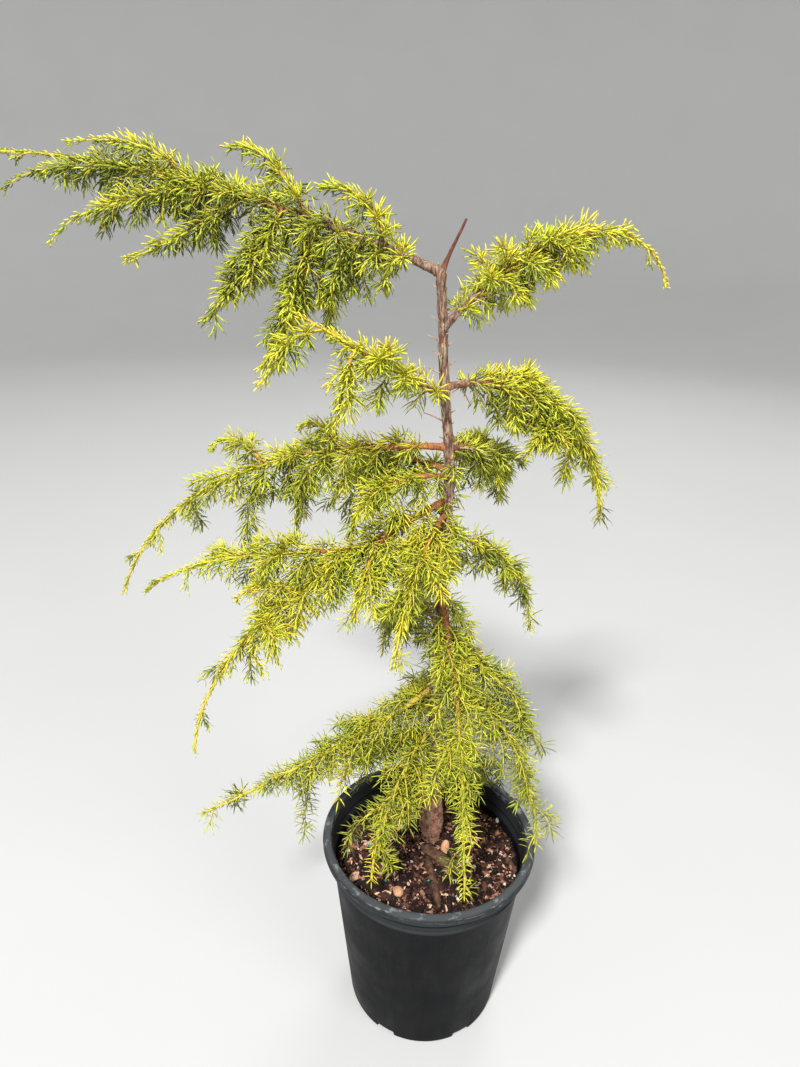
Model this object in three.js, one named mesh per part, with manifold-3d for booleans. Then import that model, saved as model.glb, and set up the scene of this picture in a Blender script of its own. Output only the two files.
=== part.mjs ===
// A golden weeping juniper, trained upright on one stem, in a black nursery pot.
// Millimetres, +Z up. The origin is the middle of the pot's flat underside.
// +X is the side with the short boughs, -X the side with the long ones, -Y the front.
import * as THREE from 'three';
import { mergeVertices } from 'three/addons/utils/BufferGeometryUtils.js';
import Module from 'manifold-3d';

const wasm = await Module();
wasm.setup();

// Driving dimensions

const GAP = 0.3;
const MERGE_DISTANCE = 1e-4;
const SMALLEST_DETAIL = 0.02;

const POT_HEIGHT = 158;
const POT_FOOT_RADIUS = 60;
const POT_BAND_RADIUS = 75.5;
const POT_LIP_RADIUS = 82.5;
const POT_WALL = 2;
const POT_FLOOR = 2.6;
const POT_BAND_HEIGHT = 22;
const POT_LIP_HEIGHT = 7;
const POT_LIP_ROUNDING = 1.5;
const POT_BAND_STEP = 1;
const POT_SIDES = 32;
const NOTCH_COUNT = 6;
const NOTCH_WIDTH = 15;
const NOTCH_HEIGHT = 5;
const NOTCH_DEPTH = 7;

const SOIL_LEVEL = 135;
const SOIL_DISH = 3;
const SOIL_FLAT_RADIUS = 30;
const SOIL_SHRINKAGE = 1.6;
const GROUND = SOIL_LEVEL + GAP;

const TRUNK_FOOT_RADIUS = 7.6;
const TRUNK_TAPER_POWER = 2;
const TRUNK_FLARE = 1.4;
const TRUNK_FLARE_HEIGHT = 40;
const TRUNK_FORK_RADIUS = 2.9;
const TRUNK_FORK_HEIGHT = 571;
const LEADER_FOOT_RADIUS = 2.2;
const LEADER_TIP_RADIUS = 0.9;
const LEADER_TIP_HEIGHT = 600;
const TRUNK_SIDES = 10;
const HALVINGS = 30;
const TRUNK_RINGS = 22;
const TRUNK_RING_CROWDING = 1.3;

// The stem's sideways lean at a few heights: height, place along X, place along Y.
const TRUNK_LEAN = [
  [GROUND, 3, 17],
  [220, 2, 10],
  [310, 1, 4],
  [400, -1, -1],
  [452, 2, 0],
  [500, -3.5, 1],
  [545, -7, 0],
  [TRUNK_FORK_HEIGHT, -8, 0],
  [LEADER_TIP_HEIGHT, 4, 2],
];

const LIMB_SIDES = 6;
const LIMB_RING_STRIDE = 18;
const LIMB_TIP_RADIUS = 0.9;
const PATH_STEPS = 40;
const TAPER_POWER = 0.9;

// Where the first corner of a ring lies before it is turned square to its path.
const FIRST_CORNER = new THREE.Vector3(0.31, 0.95, 0.05);

// Every limb springs from the trunk, at a height, or from another limb, at a share of its
// length. It sets off at an angle above level and bends towards the last angle, while its
// heading, counted from +X towards +Y, sweeps round. Its first share is bare, and the rest
// is the stem of its foliage.
// name, carrier, place, heading, sweep, rise, fall, bend, length, radius, bare share
const LIMB_ROWS = [
  ['top_left', 'trunk', 571, 165, 2, 21, 0, 1.1, 332, 2.5, 0.36],
  ['top_right', 'trunk', 540, 0, 34, 46, -66, 1.9, 182, 2, 0.14],
  ['upper_left', 'trunk', 499, 200, -5, 28, 30, 1, 105, 1.9, 0.24],
  ['right', 'trunk', 505, 8, 16, 17, -86, 0.85, 170, 2, 0.13],
  ['mid_left', 'trunk', 468, 180, -6, 0, -71, 1.6, 266, 2.1, 0.16],
  ['inner_left', 'trunk', 448, 205, -35, 15, -84, 1.2, 84, 1.8, 0.24],
  ['mid_right', 'trunk', 467, 48, 36, -9, -78, 2, 136, 1.8, 0.2],
  ['lower_left', 'trunk', 433, 197, 17, -25, -88, 2.8, 240, 2.3, 0.32],
  ['lower_right', 'trunk', 406, 30, 12, -7, -83, 0.9, 142, 1.8, 0.2],
  ['front_left', 'trunk', 424, 248, -15, -2, -84, 0.7, 112, 1.8, 0.16],
  ['front', 'trunk', 368, 294, -8, -50, -82, 0.45, 222, 2, 0.22],
  ['low_right', 'trunk', 335, 352, 4, -36, -78, 1.8, 126, 1.8, 0.22],
  ['low_right_front', 'trunk', 302, 336, -12, 2, -86, 0.55, 160, 1.9, 0.2],
  ['low_left', 'trunk', 290, 180, 18, -50, -20, 0.5, 203, 2.1, 0.2],
  ['low_front_left', 'trunk', 256, 234, -2, -17, -88, 1, 130, 1.8, 0.22],
  ['back_left', 'trunk', 452, 135, 10, 5, -72, 1.5, 130, 1.8, 0.22],
  ['back_right', 'trunk', 384, 90, 14, 0, -76, 1.2, 140, 1.8, 0.22],
  ['back_middle', 'trunk', 345, 118, -15, -10, -74, 1.2, 150, 1.9, 0.22],
  ['back_low', 'trunk', 285, 95, 20, -20, -70, 1, 120, 1.8, 0.24],
  ['back_low_left', 'trunk', 240, 148, 5, -18, -62, 1, 112, 1.8, 0.24],
  ['back_low_right', 'trunk', 232, 40, 5, -22, -74, 1, 100, 1.7, 0.26],
  ['top_left_rise', 'top_left', 0.11, 165, 0, 80, -15, 1.2, 58, 1.2, 0.2],
  ['top_left_drop', 'top_left', 0.15, 160, 0, -40, -86, 0.8, 64, 1.2, 0.18],
  ['top_left_fan', 'top_left', 0.26, 146, 10, 52, -15, 2.4, 74, 1.2, 0.16],
  ['top_left_hang', 'top_left', 0.24, 196, -8, -72, -58, 1.5, 94, 1.3, 0.14],
  ['top_left_skirt', 'top_left', 0.31, 208, 28, -60, -38, 0.7, 84, 1.2, 0.16],
  ['lower_left_side', 'lower_left', 0.27, 187, -12, -2, -44, 2.7, 146, 1.6, 0.16],
  ['lower_left_skirt', 'lower_left', 0.18, 236, 0, -15, -86, 0.8, 64, 1.3, 0.2],
];

// Long side shoots that a mass carries besides the ones of the rule.
// limb, share of its length, heading, sweep, rise, fall, bend, length
const LEAD_ROWS = [
  ['top_left', 0.4, 195, 45, -52, -14, 0.5, 88],
  ['top_left', 0.46, 190, 3, -11, -58, 4, 102],
  ['top_left', 0.5, 162, 28, 68, -12, 0.5, 88],
  ['top_left', 0.57, 172, 7, 3, -42, 3.5, 100],
  ['mid_left', 0.25, 170, 0, 57, -58, 1.9, 38],
  ['mid_left', 0.35, 211, 5, -88, -78, 1, 57],
  ['mid_left', 0.45, 172, 0, 60, -63, 1.5, 44],
  ['lower_left', 0.47, 183, 0, 32, -56, 1.1, 43],
  ['lower_left', 0.57, 276, 30, 21, -79, 1.6, 46],
  ['upper_left', 0.62, 227, 0, -62, -84, 1.3, 46],
  ['upper_left', 0.82, 212, 10, -7, -88, 1.5, 52],
  ['right', 0.24, 35, 0, 57, -60, 0.7, 66],
  ['right', 0.47, 231, 0, -30, -36, 1, 38],
  ['low_left', 0.25, 172, 10, 8, -28, 1, 72],
];

// The rule that every mass grows by.
const SHOOT_SPACING = 27;
const SHOOT_LENGTH = 36;
const LEAD_SHOOT_LENGTH = 20;
const SHORT_LIMB_SHOOT = 8;
const SHORT_LIMB_SHARE = 0.3;
const STEM_BARE_SHARE = 0.03;
const LEAD_BARE_SHARE = 0.15;
const SHOOT_OPENING = 52;
const SHOOT_DROOP = 55;
const SHOOT_HANG = 0.5;
const SHOOT_FOOT_SHARE = 1.15;
const SHOOT_TIP_SHARE = 0.15;
const SHOOT_DWINDLE_POWER = 1.5;
const SHOOT_TURN_PLAY = 40;
const SHOOT_RADIUS = 1.7;
const SHOOT_STRIDE = 9.5;
const STEM_STRIDE = 12.5;
const STEM_CLAIM_STEPS = 10;
const SPRAY_TIP_RADIUS = 0.6;
const TURN_BETWEEN_SHOOTS = 137.5;
const NEEDLE_LENGTH = 14;
const NEEDLE_OPENING = 50;
const NEEDLE_HALF_WIDTH = 2;
const STRAIGHT_DOWN = -88;

// Small helpers for angles, numbers and solids

const radians = THREE.MathUtils.degToRad;

// Seeded numbers from 0 to 1, the same at each run.
function seededNumbers(seed) {
  let state = seed;
  return () => {
    state = (state * 1664525 + 1013904223) % 2 ** 32;
    return state / 2 ** 32;
  };
}

function solidOf(geometry) {
  const bare = geometry.clone();
  bare.deleteAttribute('normal');
  bare.deleteAttribute('uv');
  const merged = mergeVertices(bare, MERGE_DISTANCE);
  const vertProperties = Float32Array.from(merged.attributes.position.array);
  const triVerts = Uint32Array.from(merged.index.array);
  return new wasm.Manifold(new wasm.Mesh({ numProp: 3, vertProperties, triVerts }));
}

// The largest piece of a solid, which drops loose scraps and fills sealed hollows.
function geometryOf(solid) {
  const pieces = solid.decompose();
  const largest = pieces.reduce((best, piece) => (piece.volume() > best.volume() ? piece : best));
  const mesh = largest.simplify(SMALLEST_DETAIL).getMesh();
  const geometry = new THREE.BufferGeometry();
  geometry.setAttribute('position', new THREE.BufferAttribute(mesh.vertProperties, 3));
  geometry.setIndex(new THREE.BufferAttribute(mesh.triVerts, 1));
  geometry.computeVertexNormals();
  return geometry;
}

// A direction from its angle above level and its heading, both in degrees.
function directionOf(climb, heading) {
  const level = Math.cos(radians(climb));
  const turn = radians(heading);
  return new THREE.Vector3(level * Math.cos(turn), level * Math.sin(turn), Math.sin(radians(climb)));
}

function anglesOf(direction) {
  const level = Math.hypot(direction.x, direction.y);
  return {
    climb: THREE.MathUtils.radToDeg(Math.atan2(direction.z, level)),
    heading: THREE.MathUtils.radToDeg(Math.atan2(direction.y, direction.x)),
  };
}

// A path is a row of evenly spaced points. Its climb goes from rise to fall, and its heading
// sweeps round, as the path runs its length.
function growPath(start, { heading, sweep, rise, fall, bend, length }) {
  const points = [start.clone()];
  for (let step = 0; step < PATH_STEPS; step += 1) {
    const share = (step + 0.5) / PATH_STEPS;
    const climb = rise + (fall - rise) * share ** bend;
    const stride = directionOf(climb, heading + sweep * share).multiplyScalar(length / PATH_STEPS);
    points.push(stride.add(points[step]));
  }
  return points;
}

function pointAt(path, share) {
  const place = THREE.MathUtils.clamp(share, 0, 1) * (path.length - 1);
  const step = Math.min(Math.floor(place), path.length - 2);
  return path[step].clone().lerp(path[step + 1], place - step);
}

function directionAt(path, share) {
  const place = THREE.MathUtils.clamp(share, 0, 1) * (path.length - 1);
  const step = Math.min(Math.floor(place), path.length - 2);
  return path[step + 1].clone().sub(path[step]).normalize();
}

// The stretch of a path from one share to another, in the given number of steps.
function stretchOf(path, from, to, steps) {
  return Array.from({ length: steps + 1 }, (_, step) => pointAt(path, from + ((to - from) * step) / steps));
}

// Rings of corners that stand square to a path, each ring turned on from the last by a twist.
function ringsAlong(points, radii, sides, twist) {
  const across = FIRST_CORNER.clone();
  return points.map((point, ring) => {
    const before = points[Math.max(ring - 1, 0)];
    const after = points[Math.min(ring + 1, points.length - 1)];
    const along = after.clone().sub(before).normalize();
    across.addScaledVector(along, -across.dot(along)).normalize();
    const beside = along.clone().cross(across);
    return Array.from({ length: sides }, (_, side) => {
      const turn = (2 * Math.PI * side) / sides + ring * twist;
      return point.clone()
        .addScaledVector(across, radii[ring] * Math.cos(turn))
        .addScaledVector(beside, radii[ring] * Math.sin(turn));
    });
  });
}

// Flat caps of triangles on the first and the last ring of a skin.
function capFaces(rings, sides) {
  const last = (rings - 1) * sides;
  const faces = [];
  for (let side = 1; side < sides - 1; side += 1) {
    faces.push(0, side + 1, side);
    faces.push(last, last + side, last + side + 1);
  }
  return faces;
}

function meshGeometry(corners, faces) {
  const geometry = new THREE.BufferGeometry();
  geometry.setFromPoints(corners);
  geometry.setIndex(faces);
  return geometry;
}

// A tapering limb: its rings are skinned with two triangles a side, and capped.
function limbGeometry(points, radii, sides) {
  const rings = ringsAlong(points, radii, sides, 0);
  const faces = capFaces(rings.length, sides);
  for (let ring = 0; ring < rings.length - 1; ring += 1) {
    for (let side = 0; side < sides; side += 1) {
      const next = (side + 1) % sides;
      const low = ring * sides;
      const high = low + sides;
      faces.push(low + side, low + next, high + next, low + side, high + next, high + side);
    }
  }
  return meshGeometry(rings.flat(), faces);
}

// A spray: a three-sided shoot whose faces are drawn out into needles. Each ring of corners is
// turned a sixth of a circle from the last, so that the needles stand in whorls of three, each
// between those of the whorl before.
function sprayGeometry(points, radii, keepsNeedle) {
  const rings = ringsAlong(points, radii, 3, Math.PI / 3);
  const corners = rings.flat();
  const faces = capFaces(rings.length, 3);
  const opening = radians(NEEDLE_OPENING);
  for (let ring = 0; ring < rings.length - 1; ring += 1) {
    const along = points[ring + 1].clone().sub(points[ring]).normalize();
    for (let side = 0; side < 3; side += 1) {
      const next = (side + 1) % 3;
      const low = ring * 3;
      const high = low + 3;
      faces.push(low + next, high + next, high + side);
      const foot = [low + side, low + next, high + side];
      const middle = new THREE.Vector3();
      foot.forEach((corner) => middle.addScaledVector(corners[corner], 1 / 3));
      const outward = middle.clone().sub(points[ring]);
      outward.addScaledVector(along, -outward.dot(along)).normalize();
      const tip = middle.clone()
        .addScaledVector(along, NEEDLE_LENGTH * Math.cos(opening))
        .addScaledVector(outward, NEEDLE_LENGTH * Math.sin(opening));
      if (keepsNeedle(middle, tip)) {
        const point = corners.push(tip) - 1;
        faces.push(foot[0], foot[1], point, foot[1], foot[2], point, foot[2], foot[0], point);
      } else {
        faces.push(...foot);
      }
    }
  }
  return meshGeometry(corners, faces);
}

// What stands where: each limb, spray and needle claims the space round its middle line.

const claims = [];

function claim(owner, spray, points, radii) {
  for (let step = 0; step < points.length - 1; step += 1) {
    const radius = Math.max(radii[step], radii[step + 1]);
    claims.push({ owner, spray, line: new THREE.Line3(points[step], points[step + 1]), radius });
  }
}

// Points closer to the axis than the pot's lip stay above the soil, and above the lip itself.
function meetsPot(point, radius) {
  const reach = Math.hypot(point.x, point.y);
  const inside = POT_BAND_RADIUS - 2 * POT_WALL;
  if (reach < inside - radius) return point.z - radius < SOIL_LEVEL + GAP;
  return reach < POT_LIP_RADIUS + radius && point.z - radius < POT_HEIGHT + GAP;
}

// A spray keeps clear of everything but its own mass, and a needle of everything but its spray.
function isFree(key, name, points, radii) {
  for (let step = 0; step < points.length - 1; step += 1) {
    const radius = Math.max(radii[step], radii[step + 1]);
    const line = new THREE.Line3(points[step], points[step + 1]);
    if (meetsPot(line.start, radius) || meetsPot(line.end, radius)) return false;
    for (const other of claims) {
      const least = radius + other.radius + GAP;
      if (other[key] !== name && other.line.distanceSqToLine3(line) < least * least) return false;
    }
  }
  return true;
}

// Pot and soil

function latheSolid(profile, sides) {
  const outline = profile.map(([radius, height]) => new THREE.Vector2(radius, height));
  return solidOf(new THREE.LatheGeometry(outline, sides).rotateX(Math.PI / 2));
}

// The wall leans out from the foot to the band under the lip.
function potWallRadius(height) {
  const share = height / (POT_HEIGHT - POT_BAND_HEIGHT);
  return THREE.MathUtils.lerp(POT_FOOT_RADIUS, POT_BAND_RADIUS - POT_BAND_STEP, share);
}

function makePot() {
  const bandFoot = POT_HEIGHT - POT_BAND_HEIGHT;
  const lipFoot = POT_HEIGHT - POT_LIP_HEIGHT;
  const pot = latheSolid([
    [0, 0],
    [POT_FOOT_RADIUS - POT_WALL, 0],
    [potWallRadius(POT_WALL), POT_WALL],
    [potWallRadius(bandFoot), bandFoot],
    [POT_BAND_RADIUS, bandFoot + POT_BAND_STEP],
    [POT_BAND_RADIUS + POT_BAND_STEP, lipFoot],
    [POT_LIP_RADIUS - POT_LIP_ROUNDING / 2, lipFoot],
    [POT_LIP_RADIUS, lipFoot + POT_LIP_ROUNDING],
    [POT_LIP_RADIUS - POT_LIP_ROUNDING / 2, POT_HEIGHT - POT_LIP_ROUNDING],
    [POT_LIP_RADIUS - 2 * POT_LIP_ROUNDING, POT_HEIGHT],
    [POT_BAND_RADIUS, POT_HEIGHT - POT_LIP_ROUNDING / 2],
    [POT_BAND_RADIUS - POT_WALL, bandFoot],
    [potWallRadius(POT_FLOOR) - POT_WALL, POT_FLOOR],
    [0, POT_FLOOR],
  ], POT_SIDES);
  const notches = Array.from({ length: NOTCH_COUNT }, (_, index) => {
    const notch = new THREE.BoxGeometry(2 * NOTCH_DEPTH, NOTCH_WIDTH, 2 * NOTCH_HEIGHT);
    notch.translate(potWallRadius(0), 0, 0);
    return solidOf(notch.rotateZ((2 * Math.PI * index) / NOTCH_COUNT));
  });
  return notches.reduce((solid, notch) => solid.subtract(notch), pot);
}

// The soil fills the pot to a little under the lip, and dips towards the wall.
function makeSoil() {
  const insideRadius = (height) => potWallRadius(height) - POT_WALL - SOIL_SHRINKAGE;
  const edge = SOIL_LEVEL - SOIL_DISH;
  return latheSolid([
    [0, POT_FLOOR + GAP],
    [insideRadius(POT_FLOOR), POT_FLOOR + GAP],
    [insideRadius(edge), edge],
    [SOIL_FLAT_RADIUS, SOIL_LEVEL],
    [0, SOIL_LEVEL],
  ], POT_SIDES / 2);
}

// Trunk

const trunkCurve = new THREE.CatmullRomCurve3(
  TRUNK_LEAN.map(([height, x, y]) => new THREE.Vector3(x, y, height)),
);

// The trunk tapers from its flare to the fork, and the leader above it is thinner still.
function trunkRadius(height) {
  if (height > TRUNK_FORK_HEIGHT) {
    const share = (height - TRUNK_FORK_HEIGHT) / (LEADER_TIP_HEIGHT - TRUNK_FORK_HEIGHT);
    return THREE.MathUtils.lerp(LEADER_FOOT_RADIUS, LEADER_TIP_RADIUS, Math.sqrt(share));
  }
  const left = (TRUNK_FORK_HEIGHT - height) / (TRUNK_FORK_HEIGHT - GROUND);
  const taper = TRUNK_FORK_RADIUS + (TRUNK_FOOT_RADIUS - TRUNK_FORK_RADIUS) * left ** TRUNK_TAPER_POWER;
  return taper + TRUNK_FLARE * Math.exp(-(height - GROUND) / TRUNK_FLARE_HEIGHT);
}

// The curve climbs all the way, so halving finds the point at a height.
function trunkPointAt(height) {
  let low = 0;
  let high = 1;
  for (let halving = 0; halving < HALVINGS; halving += 1) {
    const middle = (low + high) / 2;
    if (trunkCurve.getPoint(middle).z < height) low = middle;
    else high = middle;
  }
  return trunkCurve.getPoint(low);
}

// Rings lie closer together at the flare than higher up, and the last are the leader's.
function trunkHeights() {
  return Array.from({ length: TRUNK_RINGS + 1 }, (_, ring) => {
    const share = (ring / TRUNK_RINGS) ** TRUNK_RING_CROWDING;
    return THREE.MathUtils.lerp(GROUND, LEADER_TIP_HEIGHT, share);
  });
}

// The foot is cut level: the lowest point of the path lies straight under the next one, which
// turns the lowest ring level too.
function makeTrunk(clearance) {
  const heights = trunkHeights();
  const points = heights.map(trunkPointAt);
  points[0].set(points[1].x, points[1].y, GROUND - clearance);
  const radii = heights.map((height) => trunkRadius(height) + clearance);
  return { points, radii, solid: solidOf(limbGeometry(points, radii, TRUNK_SIDES)) };
}

// Boughs

const limbs = new Map();

function limbRadius(limb, share) {
  return LIMB_TIP_RADIUS + (limb.radius - LIMB_TIP_RADIUS) * (1 - share) ** TAPER_POWER;
}

function layOutLimb([name, carrier, place, heading, sweep, rise, fall, bend, length, radius, bare]) {
  const start = carrier === 'trunk' ? trunkPointAt(place) : pointAt(limbs.get(carrier).path, place);
  const path = growPath(start, { heading, sweep, rise, fall, bend, length });
  limbs.set(name, { name, carrier, path, length, radius, bare });
}

function boughPieces(limb, clearance) {
  const steps = Math.max(2, Math.round((limb.length * limb.bare) / LIMB_RING_STRIDE));
  const points = stretchOf(limb.path, 0, limb.bare, steps);
  const radii = points.map((_, step) => limbRadius(limb, (limb.bare * step) / steps) + clearance);
  return { points, radii, solid: solidOf(limbGeometry(points, radii, LIMB_SIDES)) };
}

// The stem of a mass runs on from its bough's tip, a gap clear of it.
function stemStart(limb) {
  return limb.bare + GAP / limb.length;
}

function claimStem(limb) {
  const from = stemStart(limb);
  const points = stretchOf(limb.path, from, 1, STEM_CLAIM_STEPS);
  const radii = points.map((_, step) => (
    limbRadius(limb, THREE.MathUtils.lerp(from, 1, step / STEM_CLAIM_STEPS))
  ));
  claim(limb.name, `${limb.name} 0`, points, radii);
}

// A bough starts at its carrier's middle line and is cut off a gap clear of the carrier.
function makeBough(limb) {
  const carrier = limb.carrier === 'trunk'
    ? makeTrunk(GAP)
    : boughPieces(limbs.get(limb.carrier), GAP);
  const { points, radii, solid } = boughPieces(limb, 0);
  claim(limb.name, `bough ${limb.name}`, points, radii);
  return solid.subtract(carrier.solid);
}

// Foliage

// Shoots stand round their stem, each turned on from the last. Those that set off downwards
// are longer than those that stand up, those near the stem's tip are short, and all of them droop.
function shootRows(stem, from, length, reach, draw) {
  const count = Math.max(2, Math.round(((1 - from) * length) / SHOOT_SPACING));
  return Array.from({ length: count }, (_, index) => {
    const along = (index + THREE.MathUtils.lerp(0.4, 0.8, draw())) / count;
    const share = from + (1 - from) * along;
    const roll = radians(TURN_BETWEEN_SHOOTS * index + SHOOT_TURN_PLAY * draw());
    const forward = directionAt(stem, share);
    const { heading } = anglesOf(forward);
    const beside = directionOf(0, heading + 90);
    const above = forward.clone().cross(beside);
    const outward = beside.multiplyScalar(Math.cos(roll)).addScaledVector(above, Math.sin(roll));
    const opening = radians(SHOOT_OPENING);
    const set = forward.multiplyScalar(Math.cos(opening)).addScaledVector(outward, Math.sin(opening));
    const start = anglesOf(set);
    const hang = 1 - SHOOT_HANG * set.z;
    const gone = along ** SHOOT_DWINDLE_POWER;
    const dwindle = THREE.MathUtils.lerp(SHOOT_FOOT_SHARE, SHOOT_TIP_SHARE, gone);
    const luck = THREE.MathUtils.lerp(0.8, 1.2, draw());
    return {
      share,
      heading: start.heading,
      sweep: 0,
      rise: start.climb,
      fall: Math.max(start.climb - SHOOT_DROOP, STRAIGHT_DOWN),
      bend: 1,
      length: reach * hang * dwindle * luck,
    };
  });
}

// A mass is grown from its stem outwards, and what would leave its space is skipped.
function makeFoliage(limb, seed) {
  const draw = seededNumbers(seed);
  const owner = limb.name;
  const solids = [];

  const addSpray = (path, from, length, radius, stride) => {
    const steps = Math.max(2, Math.round(length / stride));
    const points = stretchOf(path, from, 1, steps);
    const radii = points.map((_, step) => THREE.MathUtils.lerp(radius, SPRAY_TIP_RADIUS, step / steps));
    if (!isFree('owner', owner, points, radii)) return false;
    const spray = `${owner} ${solids.length}`;
    claim(owner, spray, points, radii);
    const keepsNeedle = (root, tip) => {
      const widths = [NEEDLE_HALF_WIDTH, NEEDLE_HALF_WIDTH];
      if (!isFree('spray', spray, [root, tip], widths)) return false;
      claim(owner, spray, [root, tip], widths);
      return true;
    };
    solids.push(solidOf(sprayGeometry(points, radii, keepsNeedle)));
    return true;
  };

  const addShoots = (stem, from, length, reach) => {
    for (const row of shootRows(stem, from, length, reach, draw)) {
      const path = growPath(pointAt(stem, row.share), row);
      addSpray(path, 0, row.length, SHOOT_RADIUS, SHOOT_STRIDE);
    }
  };

  const stemFrom = stemStart(limb);
  const stemLength = limb.length * (1 - stemFrom);
  if (!addSpray(limb.path, stemFrom, stemLength, limbRadius(limb, stemFrom), STEM_STRIDE)) {
    throw new Error(`the stem of ${owner} has no room`);
  }
  for (const [carrier, share, heading, sweep, rise, fall, bend, length] of LEAD_ROWS) {
    if (carrier !== limb.name) continue;
    const path = growPath(pointAt(limb.path, share), { heading, sweep, rise, fall, bend, length });
    if (!addSpray(path, 0, length, SHOOT_RADIUS, STEM_STRIDE)) continue;
    addShoots(path, LEAD_BARE_SHARE, length, LEAD_SHOOT_LENGTH);
  }
  const reach = Math.min(SHOOT_LENGTH, SHORT_LIMB_SHOOT + SHORT_LIMB_SHARE * limb.length);
  addShoots(limb.path, limb.bare + STEM_BARE_SHARE, limb.length, reach);
  return wasm.Manifold.union(solids);
}

// Materials

const potPlastic = new THREE.MeshStandardMaterial({ color: 0x232527, roughness: 0.55, metalness: 0 });
const barkMix = new THREE.MeshStandardMaterial({ color: 0x4a3020, roughness: 0.95, metalness: 0 });
const bark = new THREE.MeshStandardMaterial({ color: 0x7a5240, roughness: 0.85, metalness: 0 });
const needles = new THREE.MeshStandardMaterial({ color: 0x9aa832, roughness: 0.6, metalness: 0 });

// The whole plant

const plant = new THREE.Group();

function addNode(name, solid, material) {
  const mesh = new THREE.Mesh(geometryOf(solid), material.clone());
  mesh.name = name;
  plant.add(mesh);
}

const trunk = makeTrunk(0);
claim('trunk', 'trunk', trunk.points, trunk.radii);
addNode('pot', makePot(), potPlastic);
addNode('soil', makeSoil(), barkMix);
addNode('trunk', trunk.solid, bark);
LIMB_ROWS.forEach(layOutLimb);
for (const limb of limbs.values()) addNode(`bough_${limb.name}`, makeBough(limb), bark);
limbs.forEach(claimStem);
[...limbs.values()].forEach((limb, index) => {
  addNode(`foliage_${limb.name}`, makeFoliage(limb, index + 1), needles);
});

export default plant;
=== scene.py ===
"""A golden weeping juniper in a nursery pot: the finished surfaces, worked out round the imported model.

The skeleton is the model's own: limbs that bend as they run, long leads on them, and shoots that
stand round both. Finer shoots, twigs and whorls of needles carry the same rule on.
Lengths are millimetres until a mesh is made, and metres in Blender.
"""

import math

import bpy
import numpy as np
from mathutils import Matrix, Vector


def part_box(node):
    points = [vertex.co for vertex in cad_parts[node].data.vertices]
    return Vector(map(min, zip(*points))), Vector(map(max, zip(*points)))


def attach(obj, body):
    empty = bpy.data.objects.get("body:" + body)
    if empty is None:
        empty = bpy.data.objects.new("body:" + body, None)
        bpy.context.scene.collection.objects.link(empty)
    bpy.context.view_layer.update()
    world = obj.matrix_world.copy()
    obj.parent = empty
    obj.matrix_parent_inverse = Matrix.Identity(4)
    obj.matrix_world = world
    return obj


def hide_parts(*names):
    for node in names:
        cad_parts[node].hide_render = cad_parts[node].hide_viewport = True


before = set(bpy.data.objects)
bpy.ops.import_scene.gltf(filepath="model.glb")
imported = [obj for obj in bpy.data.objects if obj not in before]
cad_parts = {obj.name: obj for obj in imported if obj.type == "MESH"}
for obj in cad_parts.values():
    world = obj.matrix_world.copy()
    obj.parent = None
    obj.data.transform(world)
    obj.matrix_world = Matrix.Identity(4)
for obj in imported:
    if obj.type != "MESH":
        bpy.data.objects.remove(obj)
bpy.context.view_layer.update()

bl_info = {
    "name": "Potted Golden Juniper",
    "version": (1, 0, 0),
    "blender": (4, 5, 0),
    "location": "3D View > Sidebar > Juniper",
    "description": "Builds a weeping golden juniper in a nursery pot round its packed model",
    "category": "Add Mesh",
}

MM = 0.001
BODY = "root"

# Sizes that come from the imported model

POT_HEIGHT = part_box("pot")[1].z / MM
POT_LIP_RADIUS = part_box("pot")[1].x / MM
SOIL_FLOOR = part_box("soil")[0].z / MM
SOIL_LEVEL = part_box("soil")[1].z / MM
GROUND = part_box("trunk")[0].z / MM
LEADER_TIP_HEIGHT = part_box("trunk")[1].z / MM

# The pot, by its outline

POT_FOOT_RADIUS = 60
POT_BAND_RADIUS = 75.5
POT_WALL = 2
POT_FLOOR = 2.6
POT_BAND_HEIGHT = 22
POT_LIP_HEIGHT = 7
POT_BAND_STEP = 1
POT_ANGLES = 256
NOTCH_COUNT = 6
NOTCH_WIDTH = 15
NOTCH_HEIGHT = 5
NOTCH_DEPTH = 7
NOTCH_EDGE = 0.4
WALL_WAVER = 0.22
LIP_DENTS = 0.1

# The soil and what lies on it

SOIL_DISH = 3
SOIL_FLAT_RADIUS = 30
SOIL_SHRINKAGE = 1.6
SOIL_SINKING = 0.9
SOIL_BUMPS = 0.8
SOIL_BUMP_REACH = 9
SOIL_ANGLES = 180
SOIL_RINGS = 44
SOIL_SEED = 31

# The trunk

TRUNK_FOOT_RADIUS = 7.6
TRUNK_TAPER_POWER = 2
TRUNK_FLARE = 1.4
TRUNK_FLARE_HEIGHT = 40
TRUNK_FORK_RADIUS = 2.9
TRUNK_FORK_HEIGHT = 571
LEADER_FOOT_RADIUS = 2.2
LEADER_TIP_RADIUS = 0.9
TRUNK_RINGS = 560
TRUNK_SIDES = 60
TRUNK_SEED = 21
SPAN_STEPS = 60

# How the rings crowd towards the foot, how deep the ridges are, and how high the lumps.
RING_CROWDING = 1.12
TRUNK_RIDGES = 0.34
FINE_LUMPS = 0.8
BROAD_LUMPS = 0.7
FOOT_BULGE = 1.1

# The swelling under a bough, and the strips of bark that peel.
KNOT_HEIGHT = 1.3
KNOT_REACH = 6
STRIP_LENGTH = 9
STRIP_WIDTH = 1.5
STRIP_LIFT = 0.12
STRIP_SEED = 41

# The stem's sideways lean at a few heights: height, place along X, place along Y.
TRUNK_LEAN = np.array([
    (GROUND, 3, 17),
    (220, 2, 10),
    (310, 1, 4),
    (400, -1, -1),
    (452, 2, 0),
    (500, -3.5, 1),
    (545, -7, 0),
    (TRUNK_FORK_HEIGHT, -8, 0),
    (LEADER_TIP_HEIGHT, 4, 2),
])

# The limbs

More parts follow.
